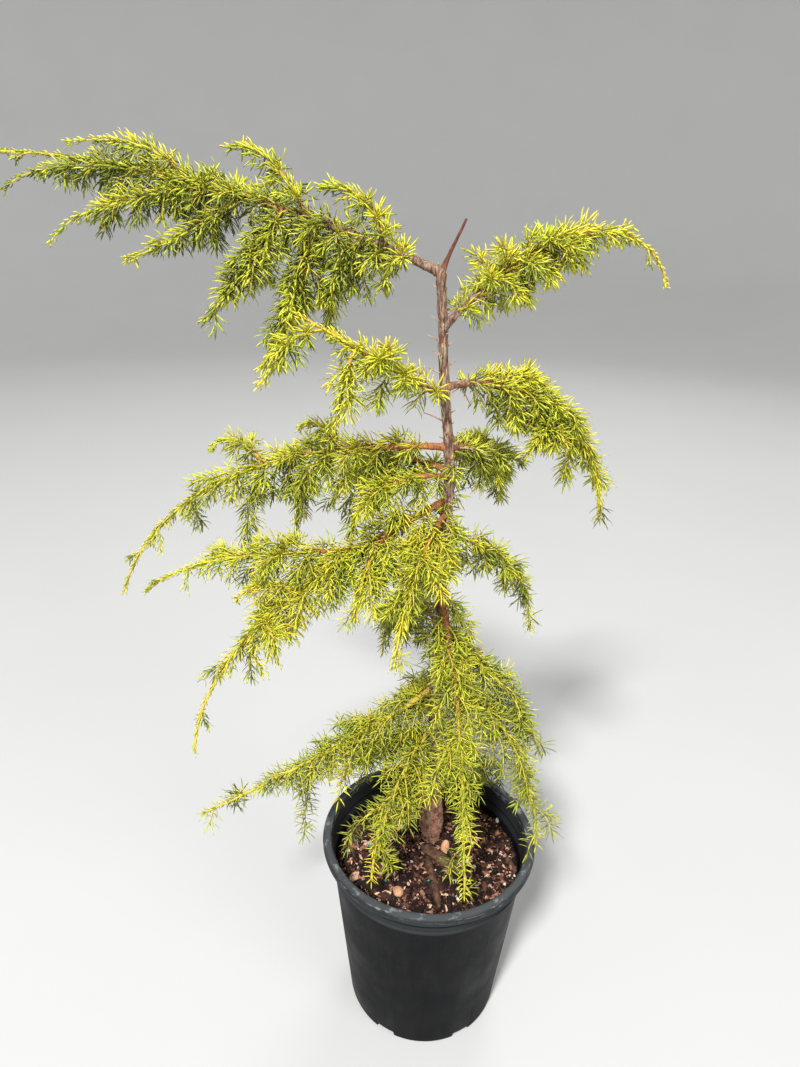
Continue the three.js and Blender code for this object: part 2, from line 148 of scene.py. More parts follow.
LIMB_TIP_RADIUS = 0.7
TAPER_POWER = 1.2
PATH_STEPS = 40
FIRST_CORNER = np.array([0.31, 0.95, 0.05])
LEAD_FOOT_RADIUS = 1.2
LIMB_SIDES = 18
LIMB_RING_SPACING = 0.9
LIMB_WAVER = 0.5
LIMB_RIDGES = 0.14
KNUCKLE_HEIGHT = 0.16
FIRST_LIMB_SEED = 50

# The ridges of bark round a stem, as waves: how many go round it, and how high they are.
RIDGE_WAVES = (3, 0.7), (5, 0.8), (8, 0.9), (13, 0.8), (21, 0.5)

# The collar where a limb leaves its carrier: its height in foot radii, and how far it reaches.
COLLAR_HEIGHT = 0.55
COLLAR_REACH = 4.5

# Every limb springs from the trunk, at a height, or from another limb, at a share of its length.
# It sets off at an angle above level and bends towards the last angle, while its heading, counted
# from +X towards +Y, sweeps round. Its first share is bare.
# name, carrier, place, heading, sweep, rise, fall, bend, length, radius, bare share
LIMB_ROWS = [
    ("top_left", "trunk", 571, 165, 2, 21, 0, 1.1, 332, 2.5, 0.36),
    ("top_right", "trunk", 540, 0, 34, 46, -66, 1.9, 182, 2, 0.14),
    ("upper_left", "trunk", 499, 200, -5, 28, 30, 1, 105, 1.9, 0.24),
    ("right", "trunk", 505, 8, 16, 17, -86, 0.85, 170, 2, 0.13),
    ("mid_left", "trunk", 468, 180, -6, 0, -71, 1.6, 266, 2.1, 0.16),
    ("inner_left", "trunk", 448, 205, -35, 15, -84, 1.2, 84, 1.8, 0.24),
    ("mid_right", "trunk", 467, 48, 36, -9, -78, 2, 136, 1.8, 0.2),
    ("lower_left", "trunk", 433, 197, 17, -25, -88, 2.8, 240, 2.3, 0.32),
    ("lower_right", "trunk", 406, 30, 12, -7, -83, 0.9, 142, 1.8, 0.2),
    ("front_left", "trunk", 424, 248, -15, -2, -84, 0.7, 112, 1.8, 0.16),
    ("front", "trunk", 368, 294, -8, -50, -82, 0.45, 222, 2, 0.22),
    ("low_right", "trunk", 335, 352, 4, -36, -78, 1.8, 126, 1.8, 0.22),
    ("low_right_front", "trunk", 302, 336, -12, 2, -86, 0.55, 160, 1.9, 0.2),
    ("low_left", "trunk", 290, 180, 18, -50, -20, 0.5, 203, 2.1, 0.2),
    ("low_front_left", "trunk", 256, 234, -2, -17, -88, 1, 130, 1.8, 0.22),
    ("back_left", "trunk", 452, 135, 10, 5, -72, 1.5, 130, 1.8, 0.22),
    ("back_right", "trunk", 384, 90, 14, 0, -76, 1.2, 140, 1.8, 0.22),
    ("back_middle", "trunk", 345, 118, -15, -10, -74, 1.2, 150, 1.9, 0.22),
    ("back_low", "trunk", 285, 95, 20, -20, -70, 1, 120, 1.8, 0.24),
    ("back_low_left", "trunk", 240, 148, 5, -18, -62, 1, 112, 1.8, 0.24),
    ("back_low_right", "trunk", 232, 40, 5, -22, -74, 1, 100, 1.7, 0.26),
    ("top_left_rise", "top_left", 0.11, 165, 0, 80, -15, 1.2, 58, 1.2, 0.2),
    ("top_left_drop", "top_left", 0.15, 160, 0, -40, -86, 0.8, 64, 1.2, 0.18),
    ("top_left_fan", "top_left", 0.26, 146, 10, 52, -15, 2.4, 74, 1.2, 0.16),
    ("top_left_hang", "top_left", 0.24, 196, -8, -72, -58, 1.5, 94, 1.3, 0.14),
    ("top_left_skirt", "top_left", 0.31, 208, 28, -60, -38, 0.7, 84, 1.2, 0.16),
    ("lower_left_side", "lower_left", 0.27, 187, -12, -2, -44, 2.7, 146, 1.6, 0.16),
    ("lower_left_skirt", "lower_left", 0.18, 236, 0, -15, -86, 0.8, 64, 1.3, 0.2),
]

# Long side shoots that a mass carries besides the ones of the rule.
# limb, share of its length, heading, sweep, rise, fall, bend, length
LEAD_ROWS = [
    ("top_left", 0.4, 195, 45, -52, -14, 0.5, 88),
    ("top_left", 0.46, 190, 3, -11, -58, 4, 102),
    ("top_left", 0.5, 162, 28, 68, -12, 0.5, 88),
    ("top_left", 0.57, 172, 7, 3, -42, 3.5, 100),
    ("mid_left", 0.25, 170, 0, 57, -58, 1.9, 38),
    ("mid_left", 0.35, 211, 5, -88, -78, 1, 57),
    ("mid_left", 0.45, 172, 0, 60, -63, 1.5, 44),
    ("lower_left", 0.47, 183, 0, 32, -56, 1.1, 43),
    ("lower_left", 0.57, 276, 30, 21, -79, 1.6, 46),
    ("upper_left", 0.62, 227, 0, -62, -84, 1.3, 46),
    ("upper_left", 0.82, 212, 10, -7, -88, 1.5, 52),
    ("right", 0.24, 35, 0, 57, -60, 0.7, 66),
    ("right", 0.47, 231, 0, -30, -36, 1, 38),
    ("low_left", 0.25, 172, 10, 8, -28, 1, 72),
]

TURN_FIELDS = ("heading", "sweep", "rise", "fall", "bend", "length")

# The rule that every mass grows by
SHOOT_SPACING = 27
SHOOT_LENGTH = 36
LEAD_SHOOT_LENGTH = 20
SHORT_LIMB_SHOOT = 8
SHORT_LIMB_SHARE = 0.3
STEM_BARE_SHARE = 0.03
LEAD_BARE_SHARE = 0.15
SHOOT_DWINDLE_POWER = 1.5
SHOOT_TURN_PLAY = 40
TURN_BETWEEN_SHOOTS = 137.5
STRAIGHT_DOWN = -88
LEAST_SHOOTS = 2
PLACE_PLAY = 0.4, 0.8
LENGTH_PLAY = 0.8, 1.2

# How shoots stand on their bearer: their opening at its foot and at its tip, how far they droop,
# how much longer the hanging ones are, and their length at its foot and at its tip.
RULE_HABIT = (52, 52), 55, 0.5, (1.15, 0.15)
FINE_HABIT = (68, 28), 60, 0.25, (1.15, 0.15)
SPUR_HABIT = (66, 40), 60, 0.3, (1.1, 0.8)
TRUNK_HABIT = (66, 40), 150, 0.5, (1.1, 0.8)
TWIG_HABIT = (52, 36), 55, 0.5, (1.15, 0.15)
SPIKE_HABIT = (66, 50), 12, 0.3, (1.1, 0.8)

# The finer growth that carries the rule on
FINE_SPACING = 6.5
FINE_SHARE = 0.62
FINE_UNTIL = 0.76
SPUR_FROM = 0.06
SPUR_SPACING = 4.2
CROWDED_SPUR_SPACING = 3.0
TWIG_SPACING = 10
TWIG_LENGTH = 13
TWIG_BARE_SHARE = 0.15
TWIG_UNTIL = 0.82
LEAST_TWIG_BEARER = 17
FINE_TRIM_POWER = 0.4
HANGING_TO_STANDING = -30, 30
GAP_OVER_POT = 2
SHOOT_STEPS = 10
TWIG_STEPS = 5
SHOOT_RADIUS = 0.6
TWIG_RADIUS = 0.45
SHOOT_TIP_RADIUS = 0.3
SHOOT_BARE_SHARE = 0.06
TWIG_FOOT_BARE_SHARE = 0.08
SPUR_SEED = 10
FINE_SEED = 11
TWIG_SEED = 12
NEEDLE_SEED = 13

# Shoots that spring from the trunk itself: from a height, to a height, their spacing and length.
TRUNK_SHOOT_ROWS = [
    (188, 212, 3.4, 22),
    (214, 320, 9, 32),
    (320, 400, 7.5, 30),
    (400, 448, 5, 17),
    (448, 470, 9, 15),
]

# Low in the crown the needles stand wider, thinner and further apart, as the teeth of a comb do,
# and twigs are few.
LOOSE_BELOW = 250
CLOSE_ABOVE = 400
LOOSE_OPENING = 80
LOOSE_LOSS = 0.28
LOOSE_THINNING = 0.16

# Between which heights the needles grow stout, and by how much.
STOUT_BETWEEN = 430, 540
STOUT_WIDTH = 0.22
STOUT_LOSS = 0.2

# Limbs whose needles grow short and lie close along their tails, and between which shares.
TIGHT_TAILS = ("top_left", "top_right", "upper_left", "mid_left", "lower_left", "lower_left_side")
TIGHT_BETWEEN = 0.5, 0.78
TIGHT_OPENING = 24
TIGHT_LENGTH = 0.56
TIGHT_LOSS = 0.3
TAIL_AGE = 0.18
TAIL_TIP = 0.93

# How old the bark looks, from 0 for golden to 1 for grey brown: at the foot of the stems, the leads
# and the twigs, and at the foot and the tip of a shoot.
STEM_AGE = 0.8
LEAD_AGE = 0.5
TWIG_AGE = 0.1
SHOOT_AGES = 0.15, 0.07
# The same at a limb's foot. Low in the crown the limbs turn golden sooner.
OLD_WOOD = {
    "top_left": 0.95, "top_right": 0.95, "upper_left": 0.85, "right": 0.8, "mid_left": 0.55,
    "lower_left": 0.55, "mid_right": 0.75, "lower_right": 0.8, "front": 0.6, "low_left": 0.25,
    "low_front_left": 0.25,
}
USUAL_OLD_WOOD = 0.62

# How long the spurs are on the bare foot of a limb.
SPUR_LENGTHS = {
    "top_left": 18, "top_right": 13, "upper_left": 16, "right": 13, "mid_left": 19, "lower_left": 25,
    "front": 22, "low_left": 30, "low_front_left": 26, "low_right": 20, "front_left": 20,
}
USUAL_SPUR_LENGTH = 15

# How much is kept of a limb's shoots, where they stand up and where they hang, so that the crown
# is as open as in the photograph.
TRIMS = {
    "top_left": (0.6, 0.9), "top_left_fan": (0.3, 0.9), "top_left_rise": (0.5, 0.9),
    "top_left_hang": (1, 0.6), "top_left_drop": (1, 0.5), "top_right": (1, 0.5),
    "top_left_skirt": (0.9, 0.6), "upper_left": (0.8, 0.8), "right": (0.7, 0.9), "mid_left": (1, 0.85),
    "lower_left": (0.6, 0.75), "lower_right": (0.3, 0.4), "low_left": (0.8, 1.6),
    "low_front_left": (1, 1.2), "front_left": (1, 0.65), "back_middle": (1, 0.5),
    "mid_right": (0.8, 0.7), "low_right": (0.8, 0.8), "lower_left_side": (1, 0.6),
}
# The same for each lead, after how much is kept of the lead itself.
LEAD_TRIMS = [
    (0.94, 1, 0.5), (1, 0.8, 0.8), (0.9, 0.3, 0.8), (1, 0.8, 0.8), (1, 1, 1), (1, 1, 0.8),
    (1, 0.8, 0.8), (1, 0.9, 0.9), (1, 1, 0.8), (1, 1, 0.9), (1, 1, 0.9), (0.6, 0.8, 0.6),
    (1, 1, 0.8), (0.55, 0.15, 1.4),
]

# How many degrees more the shoots of some limbs droop, like the teeth of a comb.
WEEPING = {"low_left": 75, "low_front_left": 40, "back_low_left": 40, "low_right": 30, "front": 20}

# How much more closely the fine shoots of some limbs stand.
CROWDING = {
    "top_right": 1.8, "right": 2.0, "top_left": 1.3, "upper_left": 1.2, "low_left": 1.9,
    "mid_right": 1.3, "top_left_hang": 1.5, "top_left_drop": 1.3, "top_left_skirt": 1.4,
    "top_left_rise": 1.3,
}

# Dead twigs on the trunk, between two heights, and on the bare feet of some boughs.
SPIKES_FROM = 330
SPIKES_TO = 566
TRUNK_SPIKES = 64
LIMB_SPIKES = 6
SPIKE_LENGTH = 15
SPIKE_RADII = 0.7, 0.2
SPIKY_LIMBS = ("top_left", "top_right", "upper_left", "right", "mid_left", "lower_left", "mid_right")

# Rough ground: each wave is shorter and lower than the last, and a slower wave bends it.
RIPPLE_LOSS = 0.72
RIPPLE_SHORTENING = 1.55
RIPPLE_BEND = 1.3
RIPPLE_BEND_PITCH = 0.6

# Numbers and angles


def seeded_numbers(seed, count):
    """Numbers from 0 to 1: each state is the last times a factor plus a step, kept to 32 bits."""
    states = []
    state = seed
    for _ in range(count):
        state = (state * 1664525 + 1013904223) % 2**32
        states.append(state)
    return np.array(states) / 2**32


def lerp(low, high, share):
    return low + (high - low) * share


def full_turn(count):
    """Angles that stand evenly round a circle."""
    return 2 * np.pi * np.arange(count) / count


def dots(first, second):
    return np.sum(first * second, axis=-1, keepdims=True)


def unit(arrows):
    return arrows / np.maximum(np.linalg.norm(arrows, axis=-1, keepdims=True), 1e-12)


def directions(climb, heading):
    """Unit arrows: (cos climb cos heading, cos climb sin heading, sin climb), angles in degrees."""
    level = np.cos(np.radians(climb))
    turn = np.radians(heading)
    return np.stack([level * np.cos(turn), level * np.sin(turn), np.sin(np.radians(climb))], axis=-1)


def smooth_step(values, low, high):
    share = np.clip((values - low) / (high - low), 0, 1)
    return share * share * (3 - 2 * share)


def ripples(first, second, seed, count=6, reach=1.0):
    """Rough ground from -1 to 1: a sum of sine waves that run across the two coordinates at seeded
    slants, each with a shorter wave and less height than the last."""
    draw = np.random.default_rng(seed)
    total = np.zeros(np.broadcast(first, second).shape)
    heights = RIPPLE_LOSS ** np.arange(count)
    for order, height in enumerate(heights):
        slant, start = draw.uniform(0, 2 * np.pi, 2)
        pitch = RIPPLE_SHORTENING**order / reach
        wave = first * np.cos(slant) * pitch + second * np.sin(slant) * pitch
        bend = RIPPLE_BEND * np.sin(RIPPLE_BEND_PITCH * wave + 2 * start)
        total += height * np.sin(wave + start + bend)
    return total / heights.sum()


# Paths


def grow_paths(starts, turns, steps):
    """Rows of evenly spaced points. A stride climbs at rise + (fall - rise) share^bend and heads
    for heading + sweep share, and each point is the sum of the strides before it."""
    share = (np.arange(steps) + 0.5) / steps
    rise, fall, bend = (turns[field][:, None] for field in ("rise", "fall", "bend"))
    climb = rise + (fall - rise) * share**bend
    heading = turns["heading"][:, None] + turns["sweep"][:, None] * share
    strides = directions(climb, heading) * (turns["length"] / steps)[:, None, None]
    return np.concatenate([starts[:, None], starts[:, None] + np.cumsum(strides, axis=1)], axis=1)


def steps_at(paths, share):
    """The step of a path that a share of it lies in, and how far on in that step."""
    place = np.clip(share, 0, 1) * (paths.shape[1] - 1)
    step = np.minimum(place.astype(int), paths.shape[1] - 2)
    return step, (place - step)[:, None]


def points_at(paths, which, share):
    """A point on a path: the step before it and the step after it, mixed by how far on it lies."""
    step, part = steps_at(paths, share)
    return paths[which, step] * (1 - part) + paths[which, step + 1] * part


def directions_at(paths, which, share):
    step, _ = steps_at(paths, share)
    return unit(paths[which, step + 1] - paths[which, step])


def turns_of(rows):
    """Columns of numbers for grow_paths, from rows that end in the six fields of a turn."""
    table = np.array(rows, dtype=float)
    return {field: table[:, column] for column, field in enumerate(TURN_FIELDS)}


def joined(parts):
    """One table of columns out of several."""
    return {field: np.concatenate([part[field] for part in parts]) for field in parts[0]}


# The skeleton


def trunk_spans():
    """A smooth curve through the lean's points: in each span a cubic whose slopes at both ends
    come from the points round it, weighed by the square roots of their distances."""
    knots = TRUNK_LEAN[:, [1, 2, 0]]
    knots = np.vstack([2 * knots[0] - knots[1], knots, 2 * knots[-1] - knots[-2]])
    before, start, end, after = knots[:-3], knots[1:-2], knots[2:-1], knots[3:]
    gap = np.sqrt(np.linalg.norm(start - before, axis=1))[:, None]
    span = np.sqrt(np.linalg.norm(end - start, axis=1))[:, None]
    rest = np.sqrt(np.linalg.norm(after - end, axis=1))[:, None]
    slope_in = (start - before) / gap - (end - before) / (gap + span) + (end - start) / span
    slope_out = (end - start) / span - (after - start) / (span + rest) + (after - end) / rest
    return start, end, slope_in * span, slope_out * span


def trunk_points(heights):
    """The trunk's middle line at some heights: the curve is drawn finely, and read off by height,
    because it climbs all the way."""
    start, end, slope_in, slope_out = (values[:, None] for values in trunk_spans())
    share = np.linspace(0, 1, SPAN_STEPS)[None, :, None]
    curve = (
        start
        + slope_in * share
        + (3 * (end - start) - 2 * slope_in - slope_out) * share**2
        + (2 * (start - end) + slope_in + slope_out) * share**3
    ).reshape(-1, 3)
    across = [np.interp(heights, curve[:, 2], curve[:, axis]) for axis in range(2)]
    return np.stack([*across, heights], axis=-1)


def trunk_radius(heights):
    """The trunk tapers from its flare to the fork, and the leader above it is thinner still."""
    rise = np.clip((heights - TRUNK_FORK_HEIGHT) / (LEADER_TIP_HEIGHT - TRUNK_FORK_HEIGHT), 0, 1)
    leader = lerp(LEADER_FOOT_RADIUS, LEADER_TIP_RADIUS, np.sqrt(rise))
    left = np.clip((TRUNK_FORK_HEIGHT - heights) / (TRUNK_FORK_HEIGHT - GROUND), 0, 1)
    taper = lerp(TRUNK_FORK_RADIUS, TRUNK_FOOT_RADIUS, left**TRUNK_TAPER_POWER)
    flare = TRUNK_FLARE * np.exp(-(heights - GROUND) / TRUNK_FLARE_HEIGHT)
    return np.where(heights > TRUNK_FORK_HEIGHT, leader, taper + flare)


def lay_out_limbs():
    """Every limb by name, with its path from its carrier's middle line to its tip."""
    limbs = {}
    for name, carrier, place, *turn, radius, bare in LIMB_ROWS:
        if carrier == "trunk":
            start = trunk_points(np.array([float(place)]))
        else:
            start = points_at(limbs[carrier]["path"][None], np.array([0]), np.array([place]))
        path = grow_paths(start, turns_of([turn]), PATH_STEPS)[0]
        limbs[name] = {
            "carrier": carrier, "path": path, "length": turn[-1], "radius": radius, "bare": bare,
        }
    return limbs


def limb_radius(limb, share):
    return lerp(LIMB_TIP_RADIUS, limb["radius"], (1 - share) ** TAPER_POWER)


def numbered(counts):
    """For items that several stems carry: the stem of each, and its number on that stem."""
    which = np.repeat(np.arange(len(counts)), counts)
    return which, np.arange(len(which)) - np.repeat(np.cumsum(counts) - counts, counts)


def offshoot_counts(lengths, bare, spacing, least):
    """How many shoots the leafy part of each stem bears."""
    return np.maximum(least, np.round((1 - bare) * lengths / spacing)).astype(int)


def offshoots(bearers, counts, draws, habit):
    """Shoots that stand round their stems, each turned on from the last. Those that set off
    downwards are longer than those that stand up, those near a tip are short, and all droop.
    The bearers are their paths, the shares between which they bear, and how long their shoots
    reach. Gives the stem that each one stands on, its share along it, and its turns."""
    paths, first, last, reach = bearers
    openings, droop, longer_down, shares = habit
    which, index = numbered(counts)
    along = (index + lerp(*PLACE_PLAY, draws[:, 0])) / counts[which]
    share = lerp(first[which], last[which], along)
    roll = np.radians(TURN_BETWEEN_SHOOTS * index + SHOOT_TURN_PLAY * draws[:, 1])[:, None]
    forward = directions_at(paths, which, share)
    heading = np.degrees(np.arctan2(forward[:, 1], forward[:, 0]))
    beside = directions(0 * heading, heading + 90)
    above = np.cross(forward, beside)
    outward = beside * np.cos(roll) + above * np.sin(roll)
    opening = np.radians(lerp(*openings, along))[:, None]
    off = forward * np.cos(opening) + outward * np.sin(opening)
    climb = np.degrees(np.arcsin(np.clip(off[:, 2], -1, 1)))
    hang = 1 - longer_down * off[:, 2]
    dwindle = lerp(*shares, along**SHOOT_DWINDLE_POWER)
    luck = lerp(*LENGTH_PLAY, draws[:, 2])
    turns = {
        "heading": np.degrees(np.arctan2(off[:, 1], off[:, 0])),
        "sweep": 0 * climb,
        "rise": climb,
        "fall": np.maximum(climb - droop, STRAIGHT_DOWN),
        "bend": 0 * climb + 1,
        "length": reach[which] * hang * dwindle * luck,
    }
    return which, share, turns


def chance_offshoots(bearers, counts, draw, habit):
    """Offshoots whose places, turns and lengths vary by chance."""
    return offshoots(bearers, counts, draw.random((counts.sum(), 3)), habit)


def clear_of_pot(paths):
    """True for the paths whose points stay above the soil inside the pot, and above its lip."""
    reach = np.hypot(paths[..., 0], paths[..., 1])
    floor = np.where(reach < POT_BAND_RADIUS - 2 * POT_WALL, SOIL_LEVEL, POT_HEIGHT)
    beyond = reach > POT_LIP_RADIUS + GAP_OVER_POT
    return np.all(beyond | (paths[..., 2] > floor + GAP_OVER_POT), axis=1)


def looseness(points):
    """How wide and thin the needles stand: 1 low in the crown, 0 above."""
    return 1 - smooth_step(points[..., 2], LOOSE_BELOW, CLOSE_ABOVE)


def stoutness(points):
    """High in the crown the needles are broader and fewer: 0 below, 1 at the top."""
    return smooth_step(points[..., 2], *STOUT_BETWEEN)


def growth(paths, lengths, radius, bare, age, tight=(0, 0)):
    """One kind of stem: its paths, lengths, foot radii, bare shares, how old the wood of its foot
    is, and how tight its needles are at its foot and its tip."""
    columns = {
        "lengths": lengths, "radius": radius, "bare": bare, "age": age, "tight_foot": tight[0],
        "tight_tip": tight[1],
    }
    rows = {"paths": paths}
    for field, values in columns.items():
        rows[field] = np.broadcast_to(np.asarray(values, float), len(paths)).copy()
    return rows


def by_limb(values, usual):
    """A value for each limb, and for each lead by the limb that carries it."""
    return np.array([values.get(row[0], usual) for row in (*LIMB_ROWS, *LEAD_ROWS)])


def tightness(kind, which, share):
    """How short and close the needles are at a share of a stem, from 0 to 1."""
    return lerp(kind["tight_foot"][which], kind["tight_tip"][which], smooth_step(share, *TIGHT_BETWEEN))


def source_draws(counts, stem_count, carriers):
    """The seeded numbers of the source's rule, three to a shoot: a mass draws them for its leads,
    and then for its stem."""
    draws = [None] * len(counts)
    for limb in range(stem_count):
        order = [*(stem_count + np.flatnonzero(carriers == limb)), limb]
        numbers = seeded_numbers(limb + 1, 3 * counts[order].sum()).reshape(-1, 3)
        for bearer, end in zip(order, np.cumsum(counts[order])):
            draws[bearer] = numbers[end - counts[bearer]:end]
    return np.concatenate(draws)


def lay_out_stems():
    """The limbs' leafy stems, the leads on them, and the stem that carries each lead."""
    limbs = lay_out_limbs()
    names = list(limbs)
    fields = ("path", "length", "radius", "bare")
    paths, *sizes = ([limb[field] for limb in limbs.values()] for field in fields)
    tight = [name in TIGHT_TAILS for name in names]
    stems = growth(np.array(paths), *sizes, STEM_AGE, (0, tight))
    carriers = np.array([names.index(row[0]) for row in LEAD_ROWS])
    turns = turns_of([row[2:] for row in LEAD_ROWS])
    turns["length"] = turns["length"] * [kept for kept, _, _ in LEAD_TRIMS]
    starts = points_at(stems["paths"], carriers, np.array([row[1] for row in LEAD_ROWS]))
    paths = grow_paths(starts, turns, PATH_STEPS)
    tight = stems["tight_tip"][carriers]
    leads = growth(paths, turns["length"], LEAD_FOOT_RADIUS, LEAD_BARE_SHARE, LEAD_AGE, (0, tight))
    return stems, leads, carriers


def shoots_on_bearers(bearers, is_stem, carriers):
    """The shoots of the source's rule, finer ones between them, and spurs on the old wood."""
    paths, lengths = bearers["paths"], bearers["lengths"]
    bare = bearers["bare"] + STEM_BARE_SHARE * is_stem
    tip = np.ones(len(bare))
    stem_reach = np.minimum(SHOOT_LENGTH, SHORT_LIMB_SHOOT + SHORT_LIMB_SHARE * lengths)
    reach = np.where(is_stem, stem_reach, LEAD_SHOOT_LENGTH)
    counts = offshoot_counts(lengths, bare, SHOOT_SPACING, LEAST_SHOOTS)
    draws = source_draws(counts, is_stem.sum(), carriers)
    coarse = offshoots((paths, bare, tip, reach), counts, draws, RULE_HABIT)

    draw = np.random.default_rng(FINE_SEED)
    crowding = by_limb(CROWDING, 1)
    counts = offshoot_counts(lengths * crowding, bare, FINE_SPACING, LEAST_SHOOTS)
    bearing = paths, bare, FINE_UNTIL * tip, FINE_SHARE * reach
    fine = chance_offshoots(bearing, counts, draw, FINE_HABIT)
    trim(coarse, 1)
    trim(fine, FINE_TRIM_POWER)

    spur_to = np.maximum(bare, SPUR_FROM)
    crowded = (looseness(paths[:, 0]) > 0) | (crowding > 1)
    spacing = np.where(crowded, CROWDED_SPUR_SPACING, SPUR_SPACING)
    counts = offshoot_counts(lengths, 1 - (spur_to - SPUR_FROM), spacing, 1) * is_stem
    bearing = paths, SPUR_FROM * tip, spur_to, by_limb(SPUR_LENGTHS, USUAL_SPUR_LENGTH)
    spurs = chance_offshoots(bearing, counts, draw, SPUR_HABIT)
    return coarse, fine, spurs


def lay_out_shoots(stems, leads, carriers):
    """The shoots on the stems and the leads, and the trunk's own. Those that would meet the pot, or
    thicken the end of a slim tail, are left out."""
    bearers = {field: np.concatenate([stems[field], leads[field]]) for field in stems}
    is_stem = np.arange(len(bearers["lengths"])) < len(stems["lengths"])
    kinds = shoots_on_bearers(bearers, is_stem, carriers)
    which, share = (np.concatenate([kind[part] for kind in kinds]) for part in range(2))
    tight = tightness(bearers, which, share)
    trunk_starts, trunk_turns = trunk_shoots()
    starts = np.concatenate([points_at(bearers["paths"], which, share), trunk_starts])
    turns = joined([*(kind[2] for kind in kinds), trunk_turns])
    share = np.concatenate([share, np.full(len(trunk_starts), 0.5)])
    tight = np.concatenate([tight, np.zeros(len(trunk_starts))])
    grown = grow_paths(starts, turns, SHOOT_STEPS)
    at_tail_tip = (share > TAIL_TIP) & (tight > 0.5)
    keep = clear_of_pot(grown) & ~at_tail_tip
    age = lerp(*SHOOT_AGES, share[keep])
    tight = tight[keep]
    lengths = turns["length"][keep]
    return growth(grown[keep], lengths, SHOOT_RADIUS, SHOOT_BARE_SHARE, age, (tight, tight))


def trim(grown, power):
    """Shortens shoots by the limb or lead that they stand on, and by whether they rise or hang,
    and lets those of some limbs droop further."""
    which, _, turns = grown
    turns["fall"] = np.maximum(turns["fall"] - by_limb(WEEPING, 0)[which], STRAIGHT_DOWN)
    kept = [TRIMS.get(row[0], (1, 1)) for row in LIMB_ROWS] + [row[1:] for row in LEAD_TRIMS]
    up, down = np.array(kept, float)[which].T
    rising = smooth_step(turns["rise"], *HANGING_TO_STANDING)
    turns["length"] = turns["length"] * lerp(down, up, rising) ** power


def trunk_shoots():
    """Shoots on the trunk itself: hanging ones that hide its lower half, and spurs above them."""
    starts, turns = [], []
    draw = np.random.default_rng(SPUR_SEED)
    for low, high, spacing, reach in TRUNK_SHOOT_ROWS:
        path = trunk_points(np.linspace(low, high, PATH_STEPS))[None]
        counts = np.array([round((high - low) / spacing)])
        bearing = path, np.zeros(1), np.ones(1), np.array([float(reach)])
        which, share, turn = chance_offshoots(bearing, counts, draw, TRUNK_HABIT)
        starts.append(points_at(path, which, share))
        turns.append(turn)
    return np.concatenate(starts), joined(turns)


def lay_out_twigs(shoots):
    """Twigs that stand round the longer shoots by the same rule. They are few low in the crown."""
    bearers = np.flatnonzero(shoots["lengths"] > LEAST_TWIG_BEARER)
    paths, lengths = shoots["paths"][bearers], shoots["lengths"][bearers]
    one = np.ones(len(bearers))
    counts = offshoot_counts(lengths, TWIG_BARE_SHARE * one, TWIG_SPACING, LEAST_SHOOTS)
    draw = np.random.default_rng(TWIG_SEED)
    bearing = paths, TWIG_BARE_SHARE * one, TWIG_UNTIL * one, TWIG_LENGTH * one
    which, share, turns = chance_offshoots(bearing, counts, draw, TWIG_HABIT)
    twigs = grow_paths(points_at(paths, which, share), turns, TWIG_STEPS)
    keep = clear_of_pot(twigs) & (draw.random(len(twigs)) > LOOSE_LOSS * looseness(twigs[:, 0]))
    tight = shoots["tight_tip"][bearers][which[keep]]
    lengths = turns["length"][keep]
    return growth(twigs[keep], lengths, TWIG_RADIUS, TWIG_FOOT_BARE_SHARE, TWIG_AGE, (tight, tight))


def lay_out_growth():
    """The whole crown: the limbs' leafy stems, the leads, the shoots and the twigs."""
    stems, leads, carriers = lay_out_stems()
    shoots = lay_out_shoots(stems, leads, carriers)
    return {"stems": stems, "leads": leads, "shoots": shoots, "twigs": lay_out_twigs(shoots)}


# Surfaces


def walls_between(low, high):
    """Quads that join rings of corner numbers, each ring's last corner with its first."""
    quads = np.stack([low, np.roll(low, -1, -1), np.roll(high, -1, -1), high], axis=-1)
    return quads.reshape(-1, 4)


def tubes(paths, radii, sides):
    """Rings of corners square to their path, corner = point + radius (across cos turn + beside sin
    turn), where across is carried on from ring to ring. Quads join the rings, and flat caps close
    the ends. The radii may differ from corner to corner."""
    count, rings = paths.shape[:2]
    along = unit(np.gradient(paths, axis=1))
    across = np.empty_like(paths)
    carried = np.broadcast_to(FIRST_CORNER, (count, 3))
    for ring in range(rings):
        carried = unit(carried - along[:, ring] * dots(carried, along[:, ring]))
        across[:, ring] = carried
    beside = np.cross(along, across)
    turn = full_turn(sides)[:, None]
    around = across[:, :, None] * np.cos(turn) + beside[:, :, None] * np.sin(turn)
    points = paths[:, :, None] + around * np.asarray(radii)[..., None]
    numbers = np.arange(count * rings * sides).reshape(count, rings, sides)
    walls = walls_between(numbers[:, :-1], numbers[:, 1:])
    return points.reshape(-1, 3), [walls, numbers[:, 0, ::-1], numbers[:, -1]]


def lathe(radii, heights, angles):
    """A closed surface of rings round Z, corner = (radius cos angle, radius sin angle, height),
    from a pole at the first height to a pole at the last. Both tables are rings by angles."""
    points = np.stack([radii * np.cos(angles), radii * np.sin(angles), heights], axis=-1)
    rings, sides = radii.shape
    numbers = np.arange(rings * sides).reshape(rings, sides)
    first, last = rings * sides, rings * sides + 1
    poles = np.array([(0, 0, heights[0].mean()), (0, 0, heights[-1].mean())])
    bottom = np.stack([np.roll(numbers[0], -1), numbers[0], np.full(sides, first)], axis=-1)
    top = np.stack([numbers[-1], np.roll(numbers[-1], -1), np.full(sides, last)], axis=-1)
    walls = walls_between(numbers[:-1], numbers[1:])
    return np.vstack([points.reshape(-1, 3), poles]), [walls, bottom, top]


